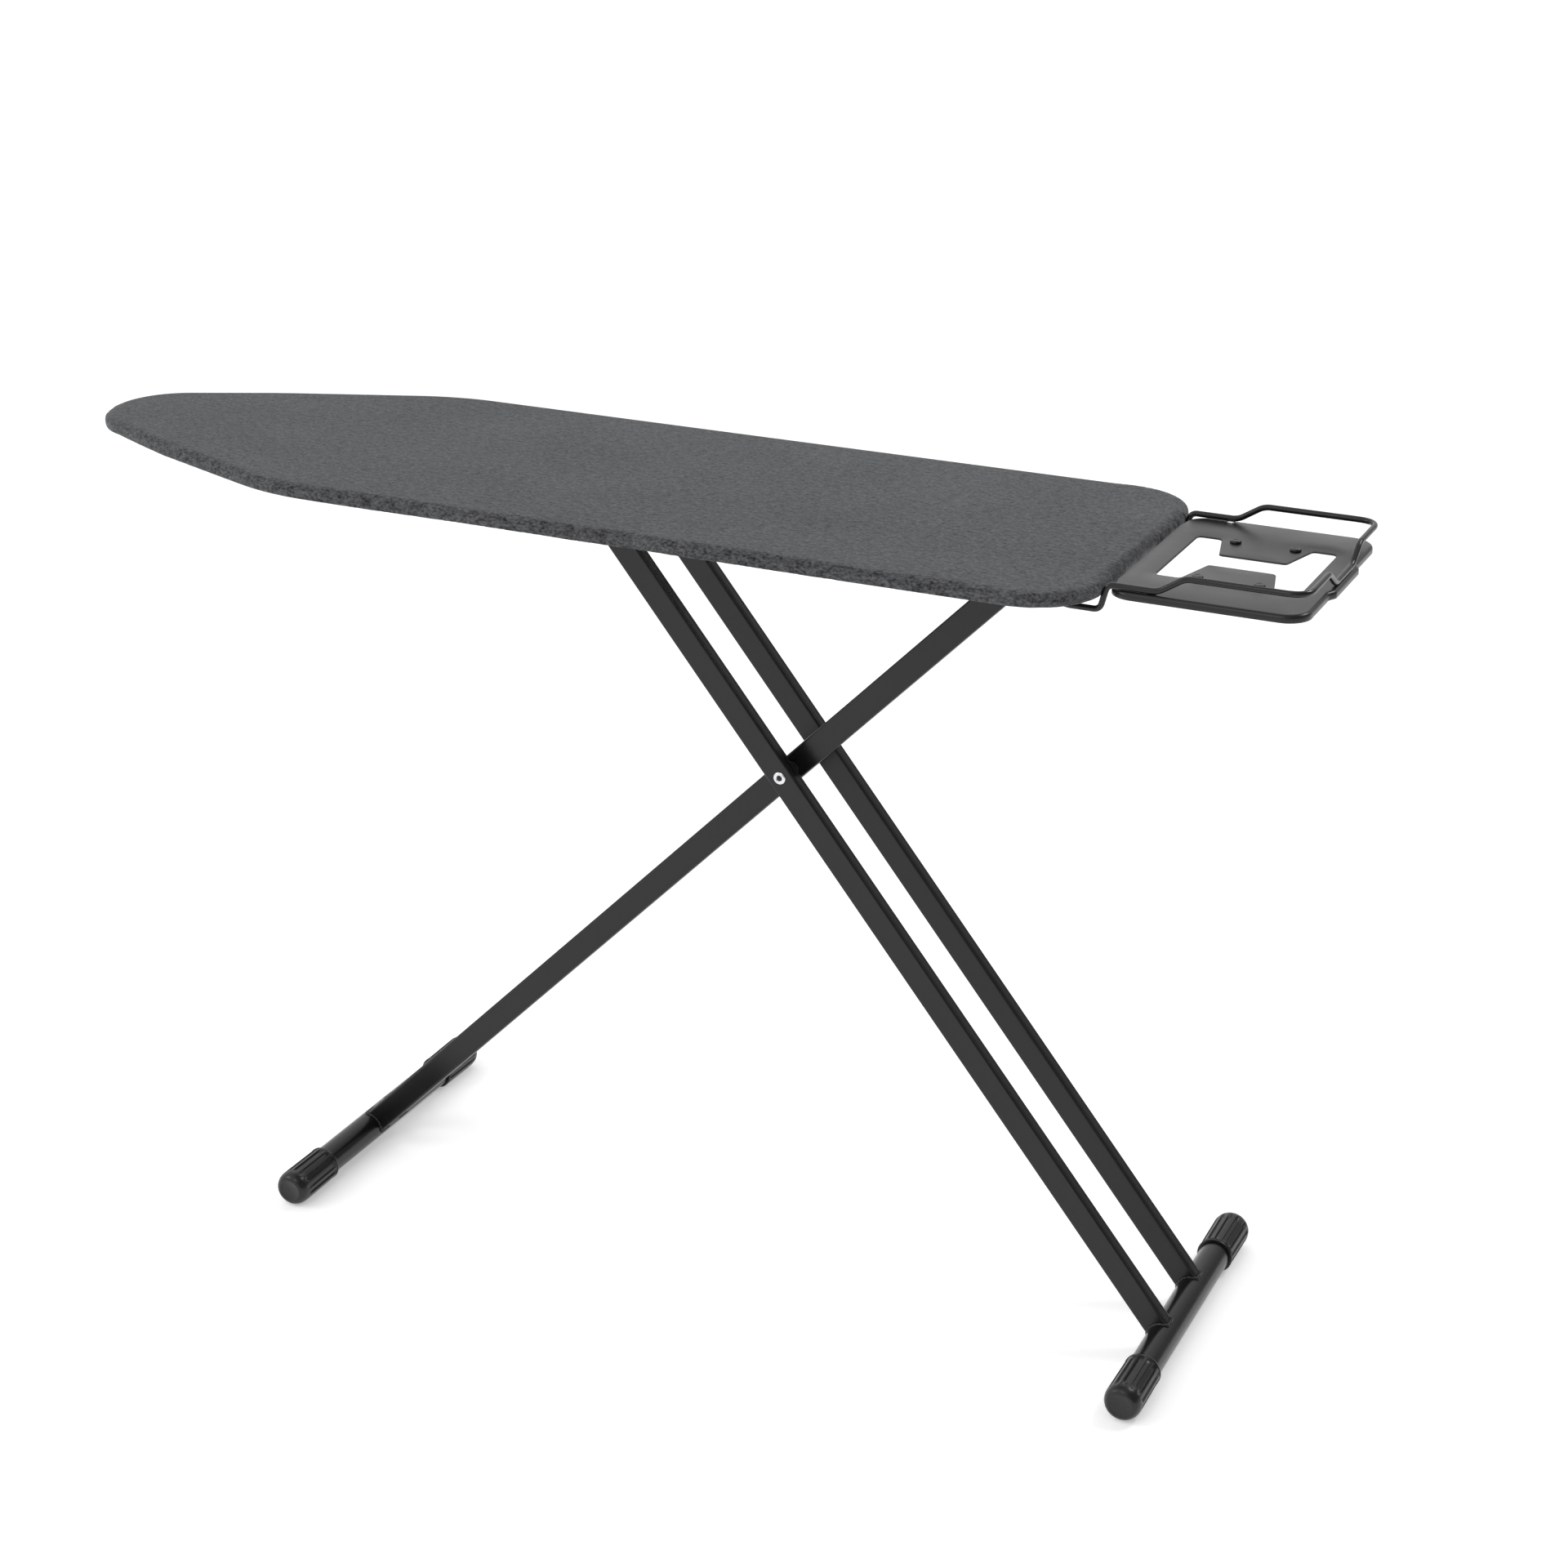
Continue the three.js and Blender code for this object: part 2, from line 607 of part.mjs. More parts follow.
// Leg tube drawn lying along X from the foot's axis, its far end rounded about the top axle.
function makeLegTube(name, y, lower, upper, topBore, pivotBore) {
  const length = lower + upper;
  const half = LEG_DEPTH / 2;
  const margin = half + 1;
  const outer = roundedOutline(rectangle(LEG_WIDTH / 2, half, LEG_EDGE_RADIUS), 0, 30);
  const inner = roundedOutline(rectangle(LEG_WIDTH / 2, half, LEG_EDGE_RADIUS), LEG_WALL, 45);
  const tube = prism(ringShape(outer, inner), 0, length + margin);
  // Drawn in (y, z) and pushed along X.
  const turn = new THREE.Matrix4().set(0, 0, 1, 0, 1, 0, 0, y, 0, 1, 0, 0, 0, 0, 0, 1);
  let leg = toSolid(tube.applyMatrix4(turn));
  const y0 = y - LEG_WIDTH;
  const y1 = y + LEG_WIDTH;
  const roundEnd = toSolid(pin(half, y0, y1, length, 0, 32));
  const shank = toSolid(box(-1, length, y0, y1, -margin, margin));
  leg = leg.intersect(shank.add(roundEnd));
  const saddle = toSolid(pin(FOOT_TUBE_RADIUS + GAP, y0, y1, 0, 0, 40));
  const pivotHole = toSolid(pin(pivotBore, y0, y1, lower, 0));
  const topHole = toSolid(pin(topBore, y0, y1, length, 0));
  leg = leg.subtract(saddle).subtract(pivotHole).subtract(topHole);
  // The saddle leaves only the piece above the foot tube.
  const pieces = leg.decompose();
  const kept = pieces.reduce((a, b) => (a.volume() > b.volume() ? a : b));
  return named(name, kept, blackPaint());
}

function makeFootTube(name) {
  const half = FOOT_LENGTH / 2 - CAP_FLOOR - GAP;
  const bore = FOOT_TUBE_RADIUS - FOOT_TUBE_WALL;
  return named(name, sleeve(bore, FOOT_TUBE_RADIUS, -half, half, 0, 0, 32), blackPaint());
}

// Rubber cup over the end of a foot tube; side is the end it closes.
function makeFootCap(name, side) {
  const bore = FOOT_TUBE_RADIUS + GAP;
  const end = FOOT_LENGTH / 2;
  const lip = end - CAP_LENGTH;
  const profile = [
    [0, end],
    [CAP_RADIUS - CAP_EDGE, end],
    [CAP_RADIUS - CAP_EDGE * 0.3, end - CAP_EDGE * 0.3],
    [CAP_RADIUS, end - CAP_EDGE],
    [CAP_RADIUS, lip],
    [bore, lip],
    [bore, end - CAP_FLOOR],
    [0, end - CAP_FLOOR],
  ].reverse();
  const mesh = named(name, turned(profile, 0, 0, 28), rubber());
  mesh.scale.y = side;
  return mesh;
}

// One foot with its two leg tubes, in a group that turns the tubes up to the pivot.
function makeLeg(leg) {
  const group = new THREE.Group();
  group.position.set(leg.footX, 0, footZ);
  const slope = new THREE.Group();
  slope.rotation.y = -leg.direction;
  slope.add(makeLegTube(leg.name + "_tube_near", -leg.y, leg.lower, leg.upper, leg.bore, leg.pivotBore));
  slope.add(makeLegTube(leg.name + "_tube_far", leg.y, leg.lower, leg.upper, leg.bore, leg.pivotBore));
  group.add(slope);
  group.add(makeFootTube(leg.name + "_foot_tube"));
  group.add(makeFootCap(leg.name + "_foot_cap_near", -1));
  group.add(makeFootCap(leg.name + "_foot_cap_far", 1));
  return group;
}

// ---------- Pivot ----------

function makePivotRivet() {
  const reach = OUTER_LEG_Y + LEG_WIDTH / 2 + GAP;
  const end = reach + RIVET_HEAD;
  const profile = [
    [RIVET_BORE_RADIUS, -end],
    [RIVET_HEAD_RADIUS, -end],
    [RIVET_HEAD_RADIUS, -reach],
    [AXLE_RADIUS, -reach],
    [AXLE_RADIUS, reach],
    [RIVET_HEAD_RADIUS, reach],
    [RIVET_HEAD_RADIUS, end],
    [RIVET_BORE_RADIUS, end],
    [RIVET_BORE_RADIUS, -end],
  ];
  return named("pivot_rivet", turned(profile, 0, PIVOT_HEIGHT, 24), zincSteel());
}

function makeSpacer(name, y0, y1) {
  const bore = AXLE_RADIUS + RUNNING_GAP;
  const bush = sleeve(bore, SPACER_RADIUS, y0 + GAP, y1 - GAP, 0, PIVOT_HEIGHT);
  return named(name, bush, plastic());
}

// ---------- Iron rest ----------

function plateOutline(inset) {
  const half = PLATE_WIDTH / 2;
  const bulge = PLATE_BULGE_LENGTH / 2;
  const slope = PLATE_BULGE * 2;
  const corners = [
    [plateStartX, -half, PLATE_CORNER],
    [plateEndX, -half, PLATE_CORNER],
    [plateEndX, -bulge - slope, 8],
    [plateEndX + PLATE_BULGE, -bulge, 8],
    [plateEndX + PLATE_BULGE, bulge, 8],
    [plateEndX, bulge + slope, 8],
    [plateEndX, half, PLATE_CORNER],
    [plateStartX, half, PLATE_CORNER],
  ];
  return roundedOutline(corners, inset, 15);
}

// Cut-out with a tab reaching in from each long side.
function windowOutline() {
  const halfX = WINDOW_LENGTH / 2;
  const halfY = WINDOW_WIDTH / 2;
  const tip = TAB_TIP / 2;
  const base = TAB_BASE / 2;
  const reach = TAB_GAP / 2;
  const x = windowMiddleX;
  const r = WINDOW_CORNER;
  return roundedOutline([
    [x - halfX, -halfY, r],
    [x - base, -halfY, r],
    [x - tip, -reach, r],
    [x + tip, -reach, r],
    [x + base, -halfY, r],
    [x + halfX, -halfY, r],
    [x + halfX, halfY, r],
    [x + base, halfY, r],
    [x + tip, reach, r],
    [x - tip, reach, r],
    [x - base, halfY, r],
    [x - halfX, halfY, r],
  ], 0, 30);
}

function buttonPlaces() {
  const places = [];
  for (const [endName, dx] of [["rear", -1], ["end", 1]]) {
    for (const [sideName, dy] of [["near", -1], ["far", 1]]) {
      const x = windowMiddleX + (dx * BUTTON_SPACING_X) / 2;
      const y = (dy * BUTTON_SPACING_Y) / 2;
      places.push({ name: "rest_button_" + endName + "_" + sideName, x, y });
    }
  }
  return places;
}

// Pressed plate with a rim turned down all round, a cut-out and four button holes.
function makeRestPlate() {
  const blank = toSolid(prism(shapeOf(plateOutline(0)), plateTop - PLATE_RIM, plateTop));
  const hollow = toSolid(
    prism(shapeOf(plateOutline(PLATE_THICKNESS)), plateTop - PLATE_RIM - 1, plateTop - PLATE_THICKNESS),
  );
  const opening = toSolid(prism(shapeOf(windowOutline()), plateTop - PLATE_RIM, plateTop + 1));
  let plate = blank.subtract(hollow).subtract(opening);
  for (const place of buttonPlaces()) {
    const hole = prism(circleShape(BUTTON_STEM_RADIUS + GAP, 16), plateTop - 3, plateTop + 1);
    plate = plate.subtract(toSolid(hole.translate(place.x, place.y, 0)));
  }
  return named("rest_plate", plate, greyPaint());
}

function makeButton(place) {
  const under = -PLATE_THICKNESS - GAP;
  const profile = [
    [0, under - 2],
    [BUTTON_STEM_RADIUS + 1.5, under - 2],
    [BUTTON_STEM_RADIUS + 1.5, under],
    [BUTTON_STEM_RADIUS, under],
    [BUTTON_STEM_RADIUS, GAP],
    [BUTTON_RADIUS, GAP],
    [BUTTON_RADIUS, BUTTON_HEIGHT - 1],
    [BUTTON_RADIUS - 1, BUTTON_HEIGHT],
    [0, BUTTON_HEIGHT],
  ];
  const points = profile.map(([radius, z]) => new THREE.Vector2(radius, z));
  const mesh = named(place.name, new THREE.LatheGeometry(points, 20), rubber());
  mesh.rotation.x = Math.PI / 2;
  mesh.position.set(place.x, place.y, plateTop);
  return mesh;
}

// Rest wire: tails under the board, low on the plate's sides, raised as a rail round the iron,
// and low again across the far rim.
function makeRestWire() {
  const half = [
    [BOARD_REAR_X - WIRE_TAIL, wireY, wireTailZ],
    [BOARD_REAR_X - 62, wireY, wireTailZ],
    [BOARD_REAR_X - 36, wireY, wireUnderZ],
    [BOARD_REAR_X + 0.5, wireY, wireUnderZ],
    [BOARD_REAR_X + 7, wireY, wireLowZ],
    [plateStartX + WIRE_LOW_REACH, wireY, wireLowZ],
    [plateStartX + WIRE_LOW_REACH + WIRE_STEP, wireY, wireHighZ],
    [wireEndX, wireY, wireHighZ],
    [wireEndX, WIRE_END_LOW / 2 + WIRE_STEP, wireHighZ],
    [wireEndX, WIRE_END_LOW / 2, wireLowZ],
  ];
  const near = half.map(([x, y, z]) => new THREE.Vector3(x, -y, z));
  const far = half.map(([x, y, z]) => new THREE.Vector3(x, y, z)).reverse();
  const route = [...near, ...far];
  const isCorner = (point) => point.x === wireEndX && Math.abs(point.y) === wireY;
  const bends = route.map((point) => (isCorner(point) ? WIRE_CORNER_BEND : WIRE_BEND));
  return named("rest_wire", rod(route, WIRE_RADIUS, bends, 10), blackPaint());
}

// ---------- Assembly ----------

const ironingBoard = new THREE.Group();
ironingBoard.name = "ironing_board";

ironingBoard.add(makeCover());
ironingBoard.add(makeHemElastic());
ironingBoard.add(makePadding());
ironingBoard.add(makeSheet());
ironingBoard.add(makeFrame());
ironingBoard.add(makeStrap("strap_front", railFrontX + STRAP_WIDTH / 2));
ironingBoard.add(makeStrap("strap_middle", middleStrapX));
ironingBoard.add(makeStrap("strap_rear", hingeX));

ironingBoard.add(makeRail("rack_rail_near", -1));
ironingBoard.add(makeRail("rack_rail_far", 1));
ironingBoard.add(makeSliderBar());
ironingBoard.add(makeRoller("roller_near", -1));
ironingBoard.add(makeRoller("roller_far", 1));

ironingBoard.add(makeLeverRod());
ironingBoard.add(makeFinger("lever_finger_near", -1));
ironingBoard.add(makeFinger("lever_finger_far", 1));
ironingBoard.add(makeLeverHandle());
ironingBoard.add(makeLeverSpring());

ironingBoard.add(makeHingeBracket("hinge_bracket_near", -1));
ironingBoard.add(makeHingeBracket("hinge_bracket_far", 1));
ironingBoard.add(makeHingeAxle());

ironingBoard.add(
  makeLeg({
    name: "outer",
    footX: OUTER_FOOT_REACH,
    direction: Math.PI - outerAngle,
    y: OUTER_LEG_Y,
    lower: outerLower,
    upper: outerUpper,
    bore: AXLE_RADIUS + GAP,
    pivotBore: AXLE_RADIUS + RUNNING_GAP,
  }),
);
ironingBoard.add(
  makeLeg({
    name: "inner",
    footX: -INNER_FOOT_REACH,
    direction: innerAngle,
    y: INNER_LEG_Y,
    lower: innerLower,
    upper: innerUpper,
    bore: AXLE_RADIUS + RUNNING_GAP,
    pivotBore: AXLE_RADIUS + GAP,
  }),
);

const outerFace = OUTER_LEG_Y - LEG_WIDTH / 2;
const innerOutside = INNER_LEG_Y + LEG_WIDTH / 2;
const innerInside = INNER_LEG_Y - LEG_WIDTH / 2;
ironingBoard.add(makePivotRivet());
ironingBoard.add(makeSpacer("pivot_spacer_near", -outerFace, -innerOutside));
ironingBoard.add(makeSpacer("pivot_spacer_middle", -innerInside, innerInside));
ironingBoard.add(makeSpacer("pivot_spacer_far", innerOutside, outerFace));

ironingBoard.add(makeRestPlate());
ironingBoard.add(makeRestWire());
for (const place of buttonPlaces()) {
  ironingBoard.add(makeButton(place));
}

// Origin at the middle of the footprint, between the nose and the wire's far end.
ironingBoard.position.x = -(noseX + wireEndX + WIRE_RADIUS) / 2;

export default ironingBoard;
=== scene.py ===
# %% [markdown]
# # A folding ironing board
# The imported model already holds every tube, hinge and plate at its right size. This script
# loads it as a fixed frame and makes the pieces that are seen: the cloth cover with its
# gathered hem, smooth tubes, the pressed iron rest, the fluted rubber feet, and the
# mechanism under the board. Everything is in metres, with X along the board, the nose at -X,
# and Z up from the floor.

# %% Load the frame
import math

import bmesh
import bpy
from mathutils import Matrix, Vector
from mathutils.noise import noise


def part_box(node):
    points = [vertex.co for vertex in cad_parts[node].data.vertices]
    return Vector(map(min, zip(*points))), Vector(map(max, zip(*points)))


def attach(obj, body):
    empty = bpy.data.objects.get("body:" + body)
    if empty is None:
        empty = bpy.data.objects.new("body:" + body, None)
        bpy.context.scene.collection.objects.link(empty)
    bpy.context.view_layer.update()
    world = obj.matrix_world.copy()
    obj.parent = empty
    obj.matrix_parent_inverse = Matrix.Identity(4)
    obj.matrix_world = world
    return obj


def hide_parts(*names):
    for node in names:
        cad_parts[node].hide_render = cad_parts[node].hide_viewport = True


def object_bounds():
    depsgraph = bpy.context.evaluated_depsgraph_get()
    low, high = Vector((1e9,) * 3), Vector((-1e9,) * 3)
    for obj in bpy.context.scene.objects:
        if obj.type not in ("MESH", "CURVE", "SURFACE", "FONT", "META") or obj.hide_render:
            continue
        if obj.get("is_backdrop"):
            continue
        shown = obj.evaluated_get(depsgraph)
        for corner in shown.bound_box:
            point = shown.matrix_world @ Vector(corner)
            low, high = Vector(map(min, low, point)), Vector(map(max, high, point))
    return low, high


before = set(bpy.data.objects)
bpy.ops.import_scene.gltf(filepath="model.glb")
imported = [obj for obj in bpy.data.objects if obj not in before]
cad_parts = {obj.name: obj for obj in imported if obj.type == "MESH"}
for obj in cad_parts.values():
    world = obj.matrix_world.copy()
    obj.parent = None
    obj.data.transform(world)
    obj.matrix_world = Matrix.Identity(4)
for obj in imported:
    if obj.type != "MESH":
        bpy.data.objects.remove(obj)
cad_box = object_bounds()
MM = 0.001

# %% [markdown]
# ## Camera
# The board is seen from its near rear corner, a little from above. The camera stands about
# three metres away with a short telephoto lens, so the tubes stay nearly parallel. It is
# aimed with three angles, and turned a touch about its own axis, as a hand-set camera is.
# An empty with a Track To constraint would aim it as well, but fixed angles are easier to
# read and leave nothing live in the scene.

# %% Camera
CAMERA_PLACE = Vector((1.3841, -2.7452, 1.7881))
CAMERA_YAW = math.radians(24.58)
CAMERA_DIP = math.radians(22.03)
CAMERA_ROLL = math.radians(0.575)
CAMERA_LENS = 67.46


def aim(yaw, dip, roll):
    """The camera's turn: it looks along +Y, swings by yaw, dips, then rolls."""
    ahead = Vector((-math.sin(yaw) * math.cos(dip), math.cos(yaw) * math.cos(dip), -math.sin(dip)))
    right = Vector((math.cos(yaw), math.sin(yaw), 0))
    up = right.cross(ahead)
    tilted_right = right * math.cos(roll) + up * math.sin(roll)
    tilted_up = up * math.cos(roll) - right * math.sin(roll)
    return Matrix((tilted_right, tilted_up, -ahead)).transposed().to_4x4()


camera_data = bpy.data.cameras.new("camera")
camera_data.lens = CAMERA_LENS
camera_data.sensor_width = 36
camera_data.clip_end = 50
camera = bpy.data.objects.new("camera", camera_data)
camera.matrix_world = Matrix.Translation(CAMERA_PLACE) @ aim(CAMERA_YAW, CAMERA_DIP, CAMERA_ROLL)
bpy.context.scene.collection.objects.link(camera)
bpy.context.scene.camera = camera
print("camera", (CAMERA_PLACE - Vector((0, 0, 0.45))).length, "m from the middle of the board")

# %% [markdown]
# ## Floor and light
# A product like this is shown on a white sweep under very soft light. The sky is bright on
# the left and dim on the right, as with a dark flag beside the set, so the faces of the
# tubes that turn right go dark and their edges read. The camera itself sees plain white.
# Three soft panels add the streaks of light along the tubes and the wire. The floor glows a
# little, as a sweep lit from below does, and the Standard view keeps white white.

# %% Floor and light
SKY_BRIGHT, SKY_DIM = 0.98, 0.26
FLOOR_SIZE = 60
FLOOR_GLOW = 0.34
PANELS = (
    # name, place, aimed at, size, watts
    ("panel_rear_right", (1.9, 1.6, 2.9), (0.3, 0, 0.7), 0.9, 26),
    ("panel_left", (-2.6, -1.8, 2.4), (-0.4, 0, 0.8), 1.5, 18),
    ("panel_front", (0.2, -3.0, 3.2), (0.2, 0, 0.6), 1.1, 12),
)

scene = bpy.context.scene
scene.view_settings.view_transform = "Standard"
world = bpy.data.worlds.new("studio")
world.use_nodes = True
tree = world.node_tree
sky = next(n for n in tree.nodes if n.type == "BACKGROUND")
sky.inputs["Color"].default_value = (1, 1, 1, 1)
heading = tree.nodes.new("ShaderNodeSeparateXYZ")
tree.links.new(tree.nodes.new("ShaderNodeTexCoord").outputs["Generated"], heading.inputs[0])
dimming = tree.nodes.new("ShaderNodeMapRange")
for socket, value in (("From Min", -0.15), ("From Max", 0.6), ("To Min", SKY_BRIGHT), ("To Max", SKY_DIM)):
    dimming.inputs[socket].default_value = value
tree.links.new(heading.outputs["X"], dimming.inputs["Value"])
tree.links.new(dimming.outputs["Result"], sky.inputs["Strength"])
backdrop = tree.nodes.new("ShaderNodeBackground")
backdrop.inputs["Color"].default_value = (1, 1, 1, 1)
backdrop.inputs["Strength"].default_value = 1.05
chosen = tree.nodes.new("ShaderNodeMixShader")
tree.links.new(tree.nodes.new("ShaderNodeLightPath").outputs["Is Camera Ray"], chosen.inputs[0])
tree.links.new(sky.outputs[0], chosen.inputs[1])
tree.links.new(backdrop.outputs[0], chosen.inputs[2])
output = next(n for n in tree.nodes if n.type == "OUTPUT_WORLD")
tree.links.new(chosen.outputs[0], output.inputs["Surface"])
scene.world = world

for name, place, target, size, watts in PANELS:
    light = bpy.data.lights.new(name, "AREA")
    light.energy = watts
    light.size = size
    panel = bpy.data.objects.new(name, light)
    panel.location = place
    panel.rotation_euler = (Vector(target) - Vector(place)).to_track_quat("-Z", "Y").to_euler()
    scene.collection.objects.link(panel)
print("lights:", len(PANELS))

# %% [markdown]
# ## Materials
# Each finish is one Principled shader whose colour, roughness and bump come from noise on
# Object coordinates. Those are real metres on every piece, so a grain has the same size on a
# small button as on the whole board. Image textures could do the same, but they would need
# UV maps on every piece and would not scale.

# %% Node helpers
def make_node(tree, kind, **inputs):
    node = tree.nodes.new(kind)
    for key, value in inputs.items():
        node.inputs[key.replace("_", " ")].default_value = value
    return node


def noise_of(tree, coordinates, scale, detail=2.0, stretch=(1, 1, 1)):
    """A noise's factor, with scale in grains per metre."""
    mapping = make_node(tree, "ShaderNodeMapping", Scale=stretch)
    tree.links.new(coordinates, mapping.inputs["Vector"])
    grain = make_node(tree, "ShaderNodeTexNoise", Scale=scale, Detail=detail)
    tree.links.new(mapping.outputs["Vector"], grain.inputs["Vector"])
    return grain.outputs["Fac"]


def graded(tree, factor, low, high, start=0.0, end=1.0):
    """A factor spread over the range low to high."""
    spread = make_node(tree, "ShaderNodeMapRange", From_Min=start, From_Max=end, To_Min=low, To_Max=high)
    tree.links.new(factor, spread.inputs["Value"])
    return spread.outputs["Result"]


def blended(tree, factor, dark, light):
    """A colour between two others."""
    mix = tree.nodes.new("ShaderNodeMix")
    mix.data_type = "RGBA"
    mix.inputs[6].default_value = (*dark, 1)
    mix.inputs[7].default_value = (*light, 1)
    tree.links.new(factor, mix.inputs[0])
    return mix.outputs[2]


def bumped(tree, height, distance, strength, under=None):
    bump = make_node(tree, "ShaderNodeBump", Strength=strength, Distance=distance)
    tree.links.new(height, bump.inputs["Height"])
    if under is not None:
        tree.links.new(under, bump.inputs["Normal"])
    return bump.outputs["Normal"]


FINISH_ENDING = "_finish"


def new_finish(name, metallic=0.0, specular=0.5, **sockets):
    """A Principled material and the pieces of its tree that every finish uses."""
    material = bpy.data.materials.new(name + FINISH_ENDING)
    material.use_nodes = True
    tree = material.node_tree
    shader = next(n for n in tree.nodes if n.type == "BSDF_PRINCIPLED")
    shader.inputs["Metallic"].default_value = metallic
    shader.inputs["Specular IOR Level"].default_value = specular
    for key, value in sockets.items():
        shader.inputs[key.replace("_", " ")].default_value = value
    coordinates = tree.nodes.new("ShaderNodeTexCoord").outputs["Object"]
    return material, tree, shader, coordinates


def plug(tree, shader, colour=None, roughness=None, normal=None):
    for output, socket in ((colour, "Base Color"), (roughness, "Roughness"), (normal, "Normal")):
        if output is not None:
            tree.links.new(output, shader.inputs[socket])


# %% [markdown]
# ### Cover cloth
# The cover is a melange: dark and light fibres spun together, with a soft felted face. Three
# noises are laid over each other: single fibres, small flecks, and a slow change over the
# board. The fibres are drawn a little long along the board. Sheen makes the nap light up
# where the cloth turns away, at the rolled edge and on the pleats.

# %% Cover cloth
def make_cover_cloth():
    material, tree, shader, place = new_finish(
        "cover_cloth", specular=0.15, Sheen_Weight=0.22, Sheen_Roughness=0.45
    )
    shader.inputs["Sheen Tint"].default_value = (0.80, 0.83, 0.88, 1)
    fibres = noise_of(tree, place, 430, 3.0, (0.62, 1, 1))
    flecks = noise_of(tree, place, 190, 2.0, (0.5, 1, 1))
    slow = noise_of(tree, place, 9, 2.0)
    mixed = tree.nodes.new("ShaderNodeMath")
    mixed.operation = "MULTIPLY_ADD"
    mixed.inputs[1].default_value = 0.35
    tree.links.new(flecks, mixed.inputs[0])
    tree.links.new(graded(tree, fibres, 0.0, 0.65), mixed.inputs[2])
    wider = tree.nodes.new("ShaderNodeMath")
    wider.operation = "MULTIPLY_ADD"
    wider.inputs[1].default_value = 0.12
    tree.links.new(slow, wider.inputs[0])
    tree.links.new(mixed.outputs[0], wider.inputs[2])
    tone = graded(tree, wider.outputs[0], 0.0, 1.0, 0.40, 0.72)
    colour = blended(tree, tone, (0.014, 0.0145, 0.0155), (0.118, 0.120, 0.124))
    nap = bumped(tree, fibres, 0.0006, 0.45)
    waves = bumped(tree, noise_of(tree, place, 55, 2.0), 0.0012, 0.22, nap)
    plug(tree, shader, colour, graded(tree, fibres, 0.86, 1.0), waves)
    return material


def make_felt():
    material, tree, shader, place = new_finish("felt", specular=0.1, Sheen_Weight=0.3)
    fibres = noise_of(tree, place, 500, 4.0, (1, 0.6, 1))
    colour = blended(tree, fibres, (0.46, 0.44, 0.40), (0.78, 0.76, 0.70))
    plug(tree, shader, colour, graded(tree, fibres, 0.9, 1.0), bumped(tree, fibres, 0.0008, 0.6))
    return material


def make_elastic():
    material, tree, shader, place = new_finish("elastic", specular=0.2, Sheen_Weight=0.15)
    ribs = make_node(tree, "ShaderNodeTexWave", Scale=90)
    tree.links.new(place, ribs.inputs["Vector"])
    colour = blended(tree, ribs.outputs["Fac"], (0.02, 0.02, 0.022), (0.06, 0.06, 0.065))
    plug(tree, shader, colour, graded(tree, ribs.outputs["Fac"], 0.7, 0.9),
         bumped(tree, ribs.outputs["Fac"], 0.0004, 0.6))
    return material


# %% [markdown]
# ### Paint, steel, rubber and plastic
# The tubes are powder coated: a satin black that melts into a very fine orange peel. Steel
# is bright zinc with faint turning marks. The rubber feet and the nylon parts are matt, with
# the slight cloudiness of moulded pieces.

# %% Paint, steel, rubber and plastic
def make_paint(name, dark, light, rough_low, rough_high):
    material, tree, shader, place = new_finish(name, specular=0.36, Coat_Weight=0.06, Coat_Roughness=0.2)
    peel = noise_of(tree, place, 700, 2.0)
    cloud = noise_of(tree, place, 14, 3.0)
    plug(tree, shader, blended(tree, cloud, dark, light),
         graded(tree, cloud, rough_low, rough_high, 0.3, 0.7), bumped(tree, peel, 0.00012, 0.22))
    return material


def make_steel():
    material, tree, shader, place = new_finish("zinc_steel", metallic=1.0)
    marks = noise_of(tree, place, 260, 3.0, (1, 9, 1))
    colour = blended(tree, marks, (0.62, 0.63, 0.65), (0.84, 0.85, 0.87))
    plug(tree, shader, colour, graded(tree, marks, 0.16, 0.34), bumped(tree, marks, 0.0001, 0.2))
    return material


def make_moulded(name, dark, light, rough_low, rough_high, grain, depth):
    material, tree, shader, place = new_finish(name, specular=0.45)
    speck = noise_of(tree, place, grain, 3.0)
    cloud = noise_of(tree, place, 60, 2.0)
    plug(tree, shader, blended(tree, cloud, dark, light),
         graded(tree, cloud, rough_low, rough_high, 0.3, 0.7), bumped(tree, speck, depth, 0.3))
    return material


COVER_CLOTH = make_cover_cloth()
FELT = make_felt()
ELASTIC = make_elastic()
BLACK_PAINT = make_paint("black_paint", (0.0055, 0.0058, 0.0063), (0.008, 0.0083, 0.0088), 0.20, 0.27)
GREY_PAINT = make_paint("grey_paint", (0.0085, 0.0088, 0.0095), (0.012, 0.0124, 0.0132), 0.28, 0.35)
ZINC_STEEL = make_steel()
RUBBER = make_moulded("rubber", (0.0045, 0.0045, 0.0048), (0.008, 0.008, 0.0084), 0.26, 0.36, 600, 0.0002)
BLACK_PLASTIC = make_moulded("black_plastic", (0.012, 0.012, 0.013), (0.02, 0.02, 0.021), 0.45, 0.6,
                             900, 0.0001)
FLOOR_WHITE = make_moulded("floor_white", (0.93, 0.93, 0.93), (0.95, 0.95, 0.95), 0.8, 0.9, 40, 0.0001)
floor_shader = next(n for n in FLOOR_WHITE.node_tree.nodes if n.type == "BSDF_PRINCIPLED")
floor_shader.inputs["Emission Color"].default_value = (1, 1, 1, 1)
floor_shader.inputs["Emission Strength"].default_value = FLOOR_GLOW
print("materials:", len(bpy.data.materials))

# %% [markdown]
# ## Helpers for making pieces
# Most pieces here are lofts: a ring of points, extruded again and again, each new ring put
# where the shape goes next. Turned parts are a profile spun about an axis. Bars are a small
# ring carried along a path. Each helper works with bmesh operators, and the last one turns
# the finished bmesh into an object that rides with its body.

